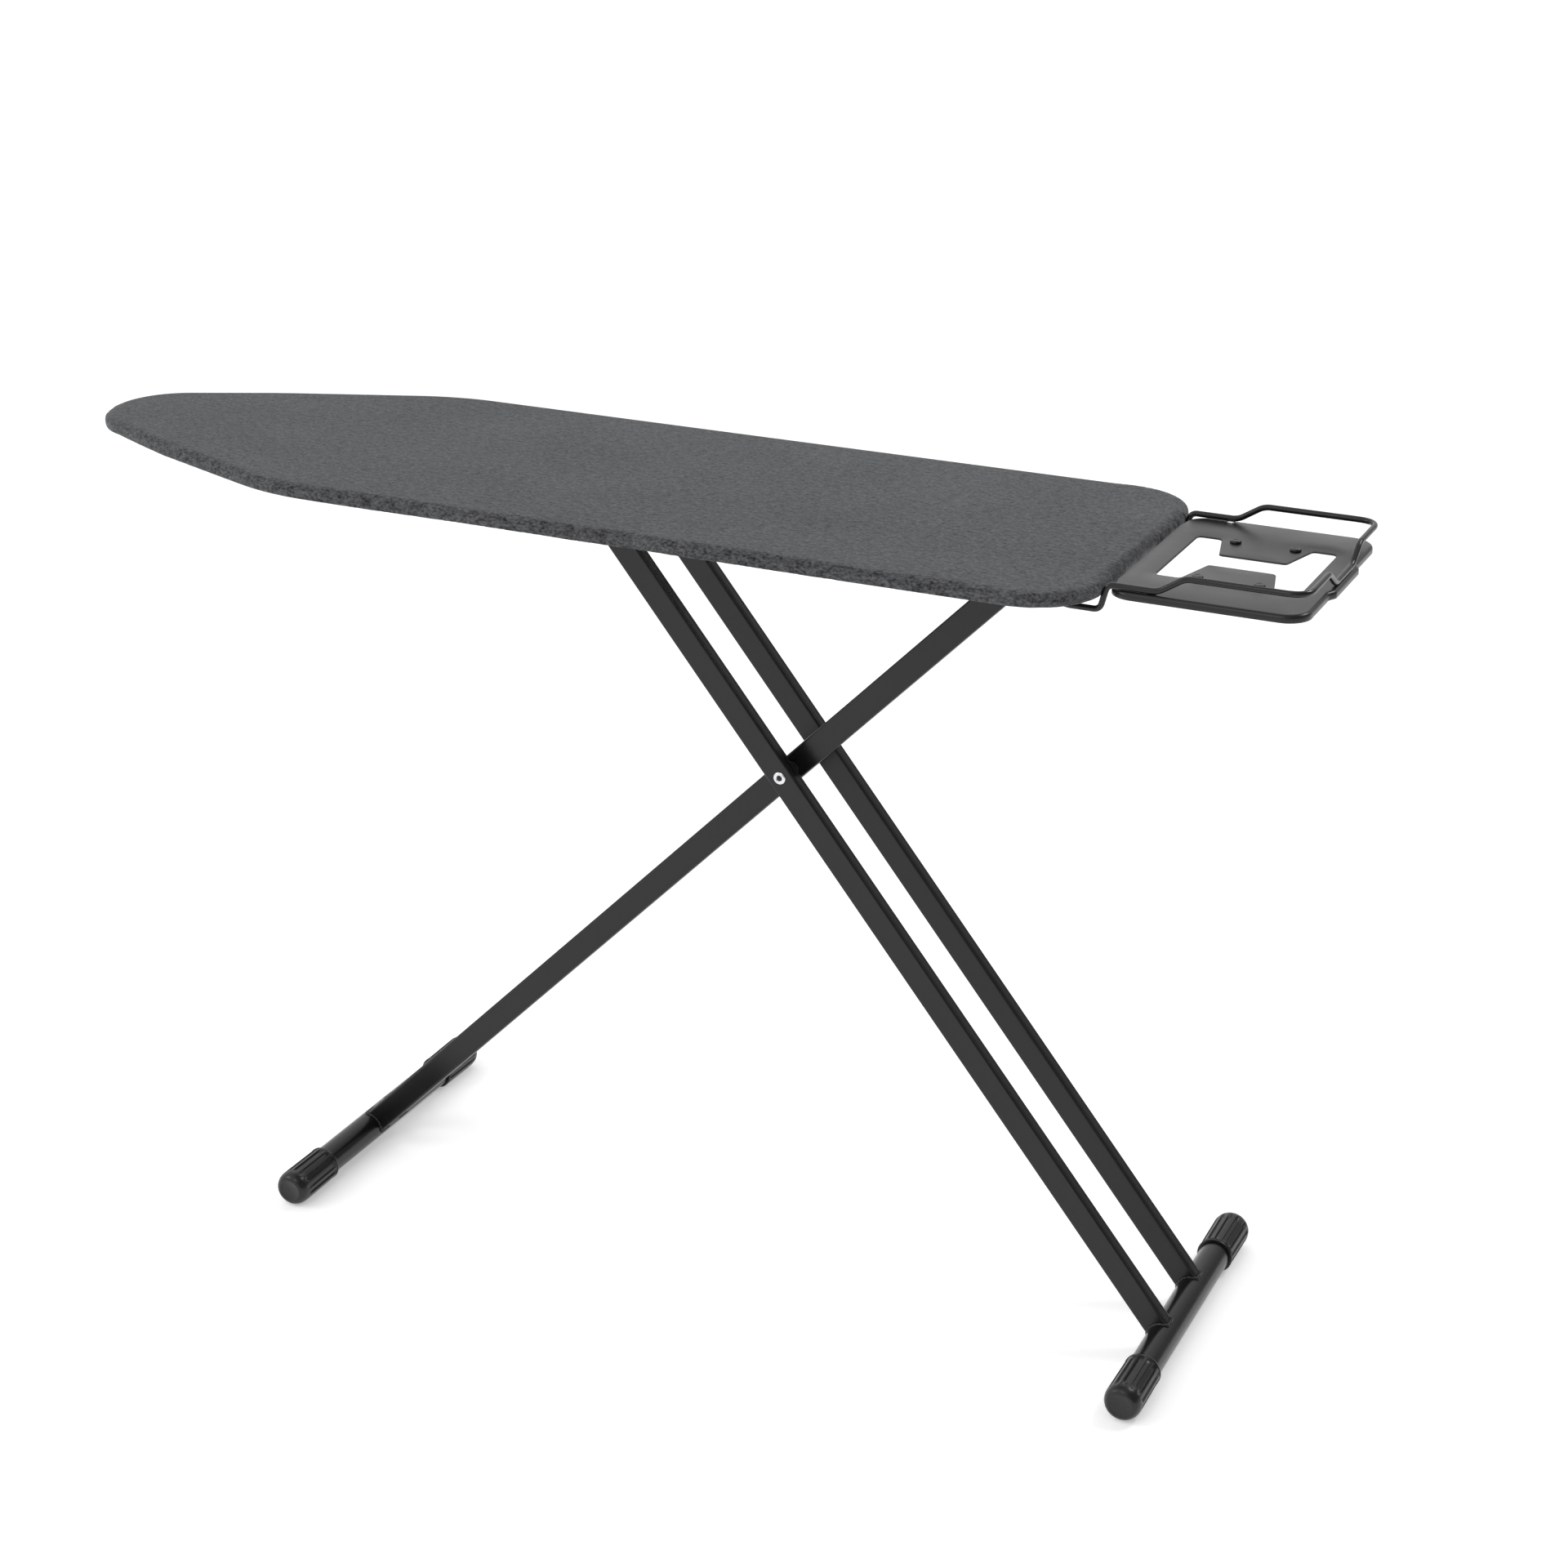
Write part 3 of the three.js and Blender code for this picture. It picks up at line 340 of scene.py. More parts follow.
# %% Rings, lofts and turned shapes
def first_ring(bm, points):
    """A closed loop of edges."""
    verts = [bm.verts.new(p) for p in points]
    for i, vert in enumerate(verts):
        bm.edges.new((vert, verts[(i + 1) % len(verts)]))
    return verts


def loop_edges(bm, ring):
    return [bm.edges.get((v, ring[(i + 1) % len(ring)])) for i, v in enumerate(ring)]


def next_ring(bm, ring, points):
    """The loop extruded, with the new loop's vertices at the points."""
    made = bmesh.ops.extrude_edge_only(bm, edges=loop_edges(bm, ring))["geom"]
    new = {g for g in made if isinstance(g, bmesh.types.BMVert)}
    twins = [next(e.other_vert(v) for e in v.link_edges if e.other_vert(v) in new) for v in ring]
    for vert, point in zip(twins, points):
        vert.co = point
    return twins


def loft(bm, rings, start_closed=True, end_closed=True):
    """Faces through a list of rings, and the last ring's vertices."""
    ring = first_ring(bm, rings[0])
    if start_closed:
        bmesh.ops.edgeloop_fill(bm, edges=loop_edges(bm, ring))
    for points in rings[1:]:
        ring = next_ring(bm, ring, points)
    if end_closed:
        bmesh.ops.edgeloop_fill(bm, edges=loop_edges(bm, ring))
    return ring


def turned(bm, profile, x, z, steps=64):
    """A profile of (radius, y) spun about the line through (x, z) along Y."""
    verts = [bm.verts.new((x + radius, y, z)) for radius, y in profile]
    edges = [bm.edges.new(pair) for pair in zip(verts, verts[1:])]
    bmesh.ops.spin(bm, geom=verts + edges, cent=(x, 0, z), axis=(0, 1, 0), angle=2 * math.pi,
                   steps=steps, use_merge=True)
    bmesh.ops.remove_doubles(bm, verts=bm.verts, dist=1e-6)


def bevel_sharp(bm, width, angle=30, segments=2):
    """Rounds every edge that is sharper than the angle."""
    limit = math.radians(angle)
    sharp = [e for e in bm.edges if e.is_manifold and e.calc_face_angle(0) > limit]
    bmesh.ops.bevel(bm, geom=sharp, offset=width, offset_type="OFFSET", segments=segments,
                    profile=0.5, affect="EDGES", clamp_overlap=True, material=-1)


# %% Bars that follow a path
def eased(route, bends, steps=8):
    """A route of corners with each corner eased over its bend's reach."""
    corners = [Vector(p) for p in route]
    points = [corners[0]]
    for i in range(1, len(corners) - 1):
        back, ahead = corners[i - 1] - corners[i], corners[i + 1] - corners[i]
        reach = min(bends[i], back.length * 0.45, ahead.length * 0.45)
        start = corners[i] + back.normalized() * reach
        end = corners[i] + ahead.normalized() * reach
        for k in range(steps + 1):
            t = k / steps
            points.append(start * (1 - t) ** 2 + corners[i] * 2 * t * (1 - t) + end * t**2)
    return points + [corners[-1]]


def rings_along(path, radius, sides, closed=False):
    """Rings square to a path, carried along it without twist; radius may be a function of i."""
    size = radius if callable(radius) else lambda i: radius
    count = len(path)
    rings = []
    side = None
    for i, centre in enumerate(path):
        after = path[(i + 1) % count] if closed else path[min(i + 1, count - 1)]
        before = path[i - 1] if closed or i else path[0]
        along = (after - before).normalized()
        side = (side or along.orthogonal()) - along * along.dot(side or along.orthogonal())
        side.normalize()
        other = along.cross(side)
        turns = [2 * math.pi * k / sides for k in range(sides)]
        rings.append([centre + (side * math.cos(a) + other * math.sin(a)) * size(i) for a in turns])
    return rings


def bar(bm, path, radius, sides=16, closed=False):
    """A round bar along a path, with softly rounded ends or joined to itself."""
    if closed:
        rings = rings_along(path, radius, sides, True)
        last = loft(bm, rings, False, False)
        start_edges = [e for e in bm.edges if e.is_boundary]
        bmesh.ops.bridge_loops(bm, edges=start_edges)
        return last
    lead, tail = (path[0] - path[1]).normalized(), (path[-1] - path[-2]).normalized()
    rings = rings_along(path, radius, sides)
    start, end = rings[0], rings[-1]

    def shrunk(ring, centre, out, share, step):
        return [centre + (p - centre) * share + out * step for p in ring]

    before = [shrunk(start, path[0], lead, s, radius * h) for s, h in ((0.45, 0.5), (0.85, 0.3))]
    after = [shrunk(end, path[-1], tail, s, radius * h) for s, h in ((0.85, 0.3), (0.45, 0.5))]
    return loft(bm, before + rings + after)


# %% Finish a piece
def finish(bm, name, material, body, stands_for=(), angle=38):
    """The bmesh as an object at the origin that rides with its body."""
    bmesh.ops.remove_doubles(bm, verts=bm.verts, dist=1e-7)
    bmesh.ops.recalc_face_normals(bm, faces=bm.faces)
    mesh = bpy.data.meshes.new(name)
    bm.to_mesh(mesh)
    bm.free()
    mesh.shade_smooth()
    mesh.set_sharp_from_angle(angle=math.radians(angle))
    mesh.materials.append(material)
    piece = bpy.data.objects.new(name, mesh)
    scene.collection.objects.link(piece)
    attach(piece, body)
    if stands_for:
        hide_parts(*stands_for)
    print(name, len(mesh.polygons), "faces")
    return piece


# %% [markdown]
# ## The floor
# A sweep of white paper has no edge that shows, so the floor is one flat face, far larger
# than the view. It is marked as part of the stage, which keeps it out of the object.

# %% Floor
floor_mesh = bmesh.new()
bmesh.ops.create_grid(floor_mesh, x_segments=1, y_segments=1, size=FLOOR_SIZE / 2)
floor_data = bpy.data.meshes.new("floor")
floor_mesh.to_mesh(floor_data)
floor_mesh.free()
floor_data.materials.append(FLOOR_WHITE)
floor = bpy.data.objects.new("floor", floor_data)
scene.collection.objects.link(floor)
floor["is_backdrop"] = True

# %% [markdown]
# ## The board's outline
# Seen from above the board is a rounded polygon: a round nose, flanks that open out, two
# long parallel sides, and a rear end with rounded corners. Every layer follows it at its own
# distance from the edge, so one function gives the outline at any inset, always with the
# same number of points. That lets two insets be lofted to each other.

# %% Outline of the board
COVER_LOW, COVER_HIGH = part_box("cover")
NOSE_X, REAR_X = COVER_LOW[0], COVER_HIGH[0]
HALF_WIDTH = COVER_HIGH[1]
TOP_Z, HEM_Z = COVER_HIGH[2], COVER_LOW[2]
NOSE_RADIUS = 0.085
CHEEK_X, CHEEK_Y, CHEEK_RADIUS = NOSE_X + 0.143, 0.124, 0.600
SHOULDER_X, SHOULDER_RADIUS = NOSE_X + 0.343, 0.250
REAR_RADIUS = 0.075


def rounded(corners, inset, spacing):
    """Points of a rounded polygon moved in by inset; corners are (x, y, radius), anticlockwise."""
    count = len(corners)
    sides = []
    for i, (x, y, _) in enumerate(corners):
        end = Vector(corners[(i + 1) % count][:2])
        along = (end - Vector((x, y))).normalized()
        sides.append((Vector((x, y)), Vector((x - along.y * inset, y + along.x * inset)), along))
    arcs = []
    for i, (_, start, ahead) in enumerate(sides):
        _, last_start, back = sides[i - 1]
        cross = back.cross(ahead)
        reach = (start - last_start).cross(ahead) / cross
        point = last_start + back * reach
        turn = math.atan2(cross, back.dot(ahead))
        way = math.copysign(1, turn)
        radius = max(corners[i][2] - way * inset, 0.0004)
        slack = radius * math.tan(abs(turn) / 2)
        whole = corners[i][2] * math.tan(abs(turn) / 2)
        centre = point - back * slack + Vector((-back.y, back.x)) * way * radius
        steps = 2 * max(1, math.ceil(abs(turn) * corners[i][2] / spacing / 2))
        begin = math.atan2(-way * back.x, way * back.y)
        arcs.append((centre, radius, begin, turn, steps, whole))
    points = []
    for i, (centre, radius, begin, turn, steps, whole) in enumerate(arcs):
        for k in range(steps + 1):
            angle = begin + turn * k / steps
            points.append(centre + radius * Vector((math.cos(angle), math.sin(angle))))
        after = arcs[(i + 1) % count]
        length = (sides[(i + 1) % count][0] - sides[i][0]).length - whole - after[5]
        straight = max(1, round(length / spacing))
        target = after[0] + after[1] * Vector((math.cos(after[2]), math.sin(after[2])))
        last = points[-1]
        points += [last.lerp(target, k / straight) for k in range(1, straight)]
    return points


def flank_apex():
    """Where the two flanks would meet ahead of the nose, if they ran on as straight lines."""
    centre_x = NOSE_X + NOSE_RADIUS
    to_cheek = math.hypot(CHEEK_X - centre_x, CHEEK_Y)
    slope = math.atan2(CHEEK_Y, CHEEK_X - centre_x) - math.asin(NOSE_RADIUS / to_cheek)
    return CHEEK_X - CHEEK_Y / math.tan(slope)


BOARD_CORNERS = (
    (flank_apex(), 0, NOSE_RADIUS),
    (CHEEK_X, -CHEEK_Y, CHEEK_RADIUS),
    (SHOULDER_X, -HALF_WIDTH, SHOULDER_RADIUS),
    (REAR_X, -HALF_WIDTH, REAR_RADIUS),
    (REAR_X, HALF_WIDTH, REAR_RADIUS),
    (SHOULDER_X, HALF_WIDTH, SHOULDER_RADIUS),
    (CHEEK_X, CHEEK_Y, CHEEK_RADIUS),
)


def board_ring(inset, z, spacing=0.003):
    return [Vector((p.x, p.y, z)) for p in rounded(BOARD_CORNERS, inset, spacing)]


def ring_length(ring):
    return sum((a - b).length for a, b in zip(ring, ring[1:] + ring[:1]))


edge_ring = board_ring(0, TOP_Z)
print("outline points", len(edge_ring), "round the edge", round(ring_length(edge_ring), 3), "m")

# %% [markdown]
# ## The cover
# The real cover is a flat piece of cloth cut larger than the board, with elastic sewn into
# its edge. Laid over the board and let go, the elastic pulls the edge in underneath, and the
# spare cloth gathers into small pleats wherever the outline turns: most at the rear end and
# its corners, hardly at all along the straight sides.
#
# Modelling each pleat by hand would be slow and would look drawn. So the cover starts as a
# smooth loft over the edge and is then given to the Cloth simulation for a few frames: the
# top is pinned, the cloth below the edge is told that it is too big, and it buckles by
# itself. A Collision body inside it could keep it out of the board. Holding each point back
# afterwards, where it would sink in or stand out too far, needs less to go wrong.

# %% Cover: the smooth start
EDGE_ROLL = 0.0085
HEM_ROLL = 0.0016
PROUD = 0.0012
HEM_REACH = 0.030
TOP_GAP, SIDE_GAP = 0.0002, 0.0003
PLEAT_START = 0.0009


def cover_path():
    """(inset, z) from the flat top, over the edge, down the side and in under the board."""
    steps = [(inset, TOP_Z - TOP_GAP) for inset in (0.060, 0.040, 0.028, 0.020, 0.0150, 0.0115)]
    for k in range(6):
        angle = math.radians(18 * k)
        inset = EDGE_ROLL * (1 - math.sin(angle)) + SIDE_GAP
        steps.append((inset + 0.0012 * (k == 0), TOP_Z - TOP_GAP - EDGE_ROLL * (1 - math.cos(angle))))
    bottom = HEM_Z + 0.0010
    side_top, side_low = TOP_Z - TOP_GAP - EDGE_ROLL, bottom + HEM_ROLL
    steps += [(SIDE_GAP, side_top + (side_low - side_top) * k / 5) for k in range(1, 6)]
    for k in range(1, 4):
        angle = math.radians(30 * k)
        steps.append((SIDE_GAP + HEM_ROLL * (1 - math.cos(angle)), side_low - HEM_ROLL * math.sin(angle)))
    steps += [(inset, bottom) for inset in (0.0065, 0.0100, 0.0135, 0.0170, 0.0205, 0.0240, 0.0270)]
    return steps + [(HEM_REACH, bottom + 0.0006)]


def gather(point):
    """How much spare cloth there is at a point of the outline, from 0 to 1."""
    rear = min(1, max(0, (point.x - (REAR_X - REAR_RADIUS - 0.05)) / 0.06))
    nose = min(1, max(0, (NOSE_X + 0.07 - point.x) / 0.07))
    return max(0.05, 1.0 * rear, 0.5 * nose)


def seed(point, k):
    """A small start for the pleats, so that they lie at uneven distances."""
    broad = noise(Vector((point.x * 95, point.y * 95, 0.7)))
    wave = broad + 0.5 * noise(Vector((point.x, point.y, 1)) * 210)
    return PLEAT_START * wave * gather(point) * min(1, max(0, (k - 8) / 6))


PATH = cover_path()
TOP_RINGS = 8
bm = bmesh.new()
rings = []
for k, (inset, z) in enumerate(PATH):
    ring = board_ring(inset, z)
    if k >= TOP_RINGS:
        outer = board_ring(inset - 0.001, z)
        low = min(1, max(0, (TOP_Z - z) / (TOP_Z - HEM_Z)))
        bulge = PROUD * math.sin(math.pi * low) if inset < 0.01 else 0
        ring = [p + (q - p).normalized() * (seed(p, k) + bulge * gather(p)) for p, q in zip(ring, outer)]
    rings.append(ring)
loft(bm, rings, False, False)
flat_area = 0
for k in range(1, len(rings)):
    wide = (ring_length(rings[k]) + ring_length(rings[k - 1])) / 2
    flat_area += wide * (Vector(PATH[k]) - Vector(PATH[k - 1])).length
flat_area += sum((a.x * b.y - b.x * a.y) / 2 for a, b in zip(rings[0], rings[0][1:] + rings[0][:1]))
print("cloth in the cover", round(flat_area, 3), "m2 before gathering")

# %% Cover: gathered by the Cloth simulation
PIN_GROUP, SNUG_GROUP = "held", "snug"
SIM_FRAMES = 10
SPARE_CLOTH = 0.16
PLEAT_LIMIT = 0.0015
SINK_LIMIT = 0.0007
UPRIGHT_SHARE = 0.35

bmesh.ops.recalc_face_normals(bm, faces=bm.faces)
cover_mesh = bpy.data.meshes.new("cover_cloth_piece")
bm.to_mesh(cover_mesh)
bm.free()
smooth_places = [v.co.copy() for v in cover_mesh.vertices]
cover = bpy.data.objects.new("cloth_cover", cover_mesh)
scene.collection.objects.link(cover)


def add_groups(piece):
    """Weights: the top is held, and the cloth below the edge is too big."""
    held = piece.vertex_groups.new(name=PIN_GROUP)
    snug = piece.vertex_groups.new(name=SNUG_GROUP)
    for vert in piece.data.vertices:
        depth = (TOP_Z - vert.co.z) / (TOP_Z - HEM_Z)
        grip = 1.0 if depth < 0.06 else max(0.0, 0.25 - depth)
        held.add([vert.index], grip, "REPLACE")
        snug.add([vert.index], 1 - gather(vert.co) * min(1, depth * 1.6), "REPLACE")


def run_cloth(piece):
    cloth = piece.modifiers.new("cloth", "CLOTH")
    settings = cloth.settings
    settings.quality = 4
    settings.mass = 0.25
    settings.tension_stiffness = 25
    settings.compression_stiffness = 25
    settings.shear_stiffness = 8
    settings.bending_stiffness = 0.02
    settings.effector_weights.gravity = 0
    settings.vertex_group_mass = PIN_GROUP
    settings.vertex_group_shrink = SNUG_GROUP
    settings.shrink_min = -SPARE_CLOTH
    settings.shrink_max = 0
    cloth.collision_settings.use_collision = False
    cloth.point_cache.frame_start = 1
    cloth.point_cache.frame_end = SIM_FRAMES
    for step in range(1, SIM_FRAMES + 1):
        scene.frame_set(step)
    shown = piece.evaluated_get(bpy.context.evaluated_depsgraph_get())
    places = [v.co.copy() for v in shown.data.vertices]
    piece.modifiers.remove(cloth)
    scene.frame_set(1)
    return places


def settled(start, outward, place):
    """A gathered place, kept near its start and out of the board beneath."""
    move = place - start
    move.z *= UPRIGHT_SHARE
    sunk = min(0, move.dot(outward) + SINK_LIMIT)
    move -= outward * sunk
    return start + move * min(1, PLEAT_LIMIT / max(move.length, 1e-9))


add_groups(cover)
normals = [v.normal.copy() for v in cover_mesh.vertices]
gathered = run_cloth(cover)
moved = [(place - start).length for place, start in zip(gathered, smooth_places)]
for vert, start, outward, place in zip(cover_mesh.vertices, smooth_places, normals, gathered):
    vert.co = settled(start, outward, place)
print("cloth moved at most", round(max(moved) / MM, 2), "mm, typical",
      round(sum(moved) / len(moved) / MM, 3), "mm")
cover.vertex_groups.clear()

# %% Cover: closed top, thickness and place
CLOTH_THICK = 0.0006

bm = bmesh.new()
bm.from_mesh(cover_mesh)
top_loop = [e for e in bm.edges if e.is_boundary and e.verts[0].co.z > TOP_Z - 0.001]
bmesh.ops.edgeloop_fill(bm, edges=top_loop)
bmesh.ops.recalc_face_normals(bm, faces=bm.faces)
bm.to_mesh(cover_mesh)
bm.free()
skin = cover.modifiers.new("skin", "SOLIDIFY")
skin.thickness = CLOTH_THICK
skin.offset = -1
cover_mesh.shade_smooth()
cover_mesh.materials.append(COVER_CLOTH)
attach(cover, "board")
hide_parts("cover")
print("cloth_cover", len(cover_mesh.polygons), "faces")

# %% [markdown]
# ## Hem elastic, padding and open metal top
# Under the cloth lie the pieces that make an ironing board what it is. The elastic is a flat
# ribbed band in the hem. The padding is a thin felt, crowned at its edge. The top itself is
# expanded metal: a sheet slit and stretched into diamonds, so that steam can pass. Slitting
# a real sheet could be copied with a cutter, but a lattice of diamonds with a hole inset in
# each gives the same net from two operators.

# %% Hem elastic
ELASTIC_LOW, ELASTIC_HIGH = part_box("hem_elastic")
ELASTIC_OUTER, ELASTIC_INNER = 0.0215, 0.0275
RIPPLE = 0.00025


def elastic_ring(inset, z):
    ring = board_ring(inset, z, 0.004)
    return [p + Vector((0, 0, RIPPLE * math.sin(k * 1.9))) for k, p in enumerate(ring)]


bm = bmesh.new()
low, high = ELASTIC_LOW[2] + RIPPLE, ELASTIC_HIGH[2]
corners = ((ELASTIC_OUTER, low), (ELASTIC_INNER, low), (ELASTIC_INNER, high), (ELASTIC_OUTER, high))
loft(bm, [elastic_ring(inset, z) for inset, z in corners], False, False)
bmesh.ops.bridge_loops(bm, edges=[e for e in bm.edges if e.is_boundary])
elastic = finish(bm, "elastic_band", ELASTIC, "board", ["hem_elastic"])

# %% Padding
PAD_LOW, PAD_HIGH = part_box("padding")
bm = bmesh.new()
thick = PAD_HIGH[2] - PAD_LOW[2]
crown = [(0.012, 0.97), (0.006, 0.93), (0.0042, 0.80), (0.0034, 0.55), (0.0032, 0.30), (0.0038, 0.10),
         (0.006, 0)]
loft(bm, [board_ring(inset, PAD_LOW[2] + thick * share, 0.008) for inset, share in crown])
pad = finish(bm, "felt_pad", FELT, "board", ["padding"])

# %% Open metal top
SHEET_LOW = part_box("mesh_top")[0]
DIAMOND_LONG, DIAMOND_SHORT = 0.019, 0.0095
STRAND = 0.0011
EXPANDED_THICK = 0.0005


def in_outline(point, ring):
    """Whether a point is inside a closed ring: it then lies left of an odd number of sides."""
    inside = False
    for a, b in zip(ring, ring[1:] + ring[:1]):
        if (a.y > point.y) != (b.y > point.y):
            crossing = a.x + (point.y - a.y) / (b.y - a.y) * (b.x - a.x)
            inside ^= point.x < crossing
    return inside


bm = bmesh.new()
across = math.ceil((REAR_X - NOSE_X) / DIAMOND_LONG) + math.ceil(2 * HALF_WIDTH / DIAMOND_SHORT)
bmesh.ops.create_grid(bm, x_segments=across, y_segments=across, size=across / 2)
middle_x = (NOSE_X + REAR_X) / 2
lean = Matrix(((DIAMOND_LONG / 2, DIAMOND_LONG / 2, 0, middle_x),
               (DIAMOND_SHORT / 2, -DIAMOND_SHORT / 2, 0, 0), (0, 0, 1, SHEET_LOW[2]), (0, 0, 0, 1)))
bmesh.ops.transform(bm, matrix=lean, verts=bm.verts)
limit = board_ring(0.006, 0, 0.02)
outside = [f for f in bm.faces if abs(f.calc_center_median().y) > HALF_WIDTH
           or not NOSE_X < f.calc_center_median().x < REAR_X
           or not in_outline(f.calc_center_median(), limit)]
bmesh.ops.delete(bm, geom=outside, context="FACES")
bmesh.ops.inset_individual(bm, faces=list(bm.faces), thickness=STRAND / 2, depth=0.0)
holes = [f for f in bm.faces if all(len(v.link_faces) == 3 for v in f.verts)]
bmesh.ops.delete(bm, geom=holes, context="FACES")
mesh_top = finish(bm, "open_mesh_top", GREY_PAINT, "board", ["mesh_top"])
wall = mesh_top.modifiers.new("wall", "SOLIDIFY")
wall.thickness = EXPANDED_THICK
wall.offset = 1
print("diamonds", len(holes))

# %% [markdown]
# ## Frame, straps, rails and brackets
# These are bent from strip and channel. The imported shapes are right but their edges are
# knife sharp, and nothing bent from sheet is. Each is copied, its flat faces are joined
# again, and its edges are rounded with a small bevel, which gives the thin line of light
# that a real edge has. The edge frame lies hidden inside the cover, so it only gets its
# paint.

# %% Rounded copies of the flat metal pieces
SHEET_EDGE = 0.0004


def softened(node, material, body="board", width=SHEET_EDGE):
    """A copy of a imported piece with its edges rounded."""
    bm = bmesh.new()
    bm.from_mesh(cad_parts[node].data)
    bmesh.ops.remove_doubles(bm, verts=bm.verts, dist=1e-6)
    bmesh.ops.dissolve_limit(bm, angle_limit=math.radians(1), verts=bm.verts, edges=bm.edges)
    bevel_sharp(bm, width)
    return finish(bm, node + "_rounded", material, body, [node])


for strap in ("strap_front", "strap_middle", "strap_rear"):
    softened(strap, BLACK_PAINT)
for plain in ("rack_rail_near", "rack_rail_far", "hinge_bracket_near", "hinge_bracket_far"):
    softened(plain, GREY_PAINT)
for finger in ("lever_finger_near", "lever_finger_far"):
    softened(finger, GREY_PAINT, "release_lever")
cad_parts["perimeter_frame"].data.materials.clear()
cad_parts["perimeter_frame"].data.materials.append(BLACK_PAINT)

# %% [markdown]
# ## Leg tubes
# Each leg tube is a flat-sided tube with small round corners and a rolled seam: fine grooves
# beside the corners of its narrow faces, which catch a line of light along the whole leg.
# The foot end is cut to a saddle that sits on the round foot tube. Since the leg stands
# square on that tube, the saddle is a formula: at a height h across the tube, the surface of
# the foot is the root of r*r - h*h away from its middle. A Boolean would cut the same
# curve, but leaves untidy faces along it.

# %% Leg section and its place
TUBE_DEPTH = 0.029
TUBE_WIDTH = 0.017
TUBE_CORNER = 0.0026
TUBE_WALL = 0.0011
GROOVE_IN, GROOVE_HALF, GROOVE_DEPTH = 0.0046, 0.0006, 0.0007
FOOT_RADIUS = 0.0175
SUNK_IN_FOOT = 0.0006
SADDLE_REACH = 0.024
OPEN_DEPTH = 0.030
FLAT_STEPS = (-0.75, -0.55, -0.3, 0, 0.3, 0.55, 0.75)


def tube_section(inset=0.0):
    """(y, depth) round a leg tube; grooves run along both narrow faces."""
    half_y, half_d = TUBE_WIDTH / 2 - inset, TUBE_DEPTH / 2 - inset
    radius = max(TUBE_CORNER - inset, 0.0008)
    points = []
    for corner, (side_y, side_d) in enumerate(((1, -1), (1, 1), (-1, 1), (-1, -1))):
        centre = Vector((side_y * (half_y - radius), side_d * (half_d - radius)))
        for k in range(7):
            angle = math.radians(90 * (corner - 1) + 15 * k)
            points.append(centre + radius * Vector((math.cos(angle), math.sin(angle))))
        if corner % 2 == 0:
            points += [Vector((side_y * half_y, side_y * share * half_d)) for share in FLAT_STEPS]
        else:
            groove = half_y - GROOVE_IN
            for y in (groove, -groove):
                points += [Vector((side_d * (y + step), side_d * (half_d - deep)))
                           for step, deep in ((GROOVE_HALF, 0), (0, GROOVE_DEPTH), (-GROOVE_HALF, 0))]
    return points


def leg_place(hinge, foot):
    """Turns (along, y, depth) on a leg into a place: along runs from the foot to the hinge."""
    along = Vector((hinge[0] - foot[0], 0, hinge[1] - foot[1]))
    length = along.length
    along.normalize()
    outward = Vector((along.z, 0, -along.x))
    origin = Vector((foot[0], 0, foot[1]))
    return length, lambda u, y, d: origin + along * u + outward * d + Vector((0, y, 0))


def middle_of(node):
    low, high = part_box(node)
    return [(a + b) / 2 for a, b in zip(low, high)]


BAR_X, _, BAR_Z = middle_of("slider_bar")
AXLE_X, _, AXLE_Z = middle_of("hinge_axle")
PIVOT_X, _, PIVOT_Z = middle_of("pivot_rivet")
LEGS = {
    "outer": ((BAR_X, BAR_Z), middle_of("outer_foot_tube")[::2]),
    "inner": ((AXLE_X, AXLE_Z), middle_of("inner_foot_tube")[::2]),
}


LEG_SIDES = [(leg, side) for leg in LEGS for side in ("near", "far")]


def make_leg_tube(leg, side):
    node = f"{leg}_tube_{side}"
    length, put = leg_place(*LEGS[leg])
    y0 = middle_of(node)[1]
    section = tube_section()
    bore = tube_section(TUBE_WALL)
    seat = FOOT_RADIUS - SUNK_IN_FOOT

    def end(points, out):
        return [put(length + math.sqrt(max(0, (TUBE_DEPTH / 2) ** 2 - p.y**2)) + out, y0 + p.x, p.y)
                for p in points]

    rings = [[put(math.sqrt(seat**2 - p.y**2), y0 + p.x, p.y) for p in section]]
    rings += [[put(u, y0 + p.x, p.y) for p in section] for u in (SADDLE_REACH, length / 2, length - 0.001)]
    rings += [end(section, 0), end(bore, 0), [put(length - OPEN_DEPTH, y0 + p.x, p.y) for p in bore]]
    bm = bmesh.new()
    loft(bm, rings)
    return finish(bm, node + "_smooth", BLACK_PAINT, leg + "_leg", [node], angle=25)


for leg, side in LEG_SIDES:
    make_leg_tube(leg, side)

# %% [markdown]
# ## Weld beads
# Where each leg meets its foot a bead of weld runs all round. Its line is the same saddle
# formula, followed round the section. The bead is a thin bar along that line whose radius
# swells and shrinks a little, as the puddles of a weld do.

# %% Weld beads
BEAD_RADIUS = 0.0021


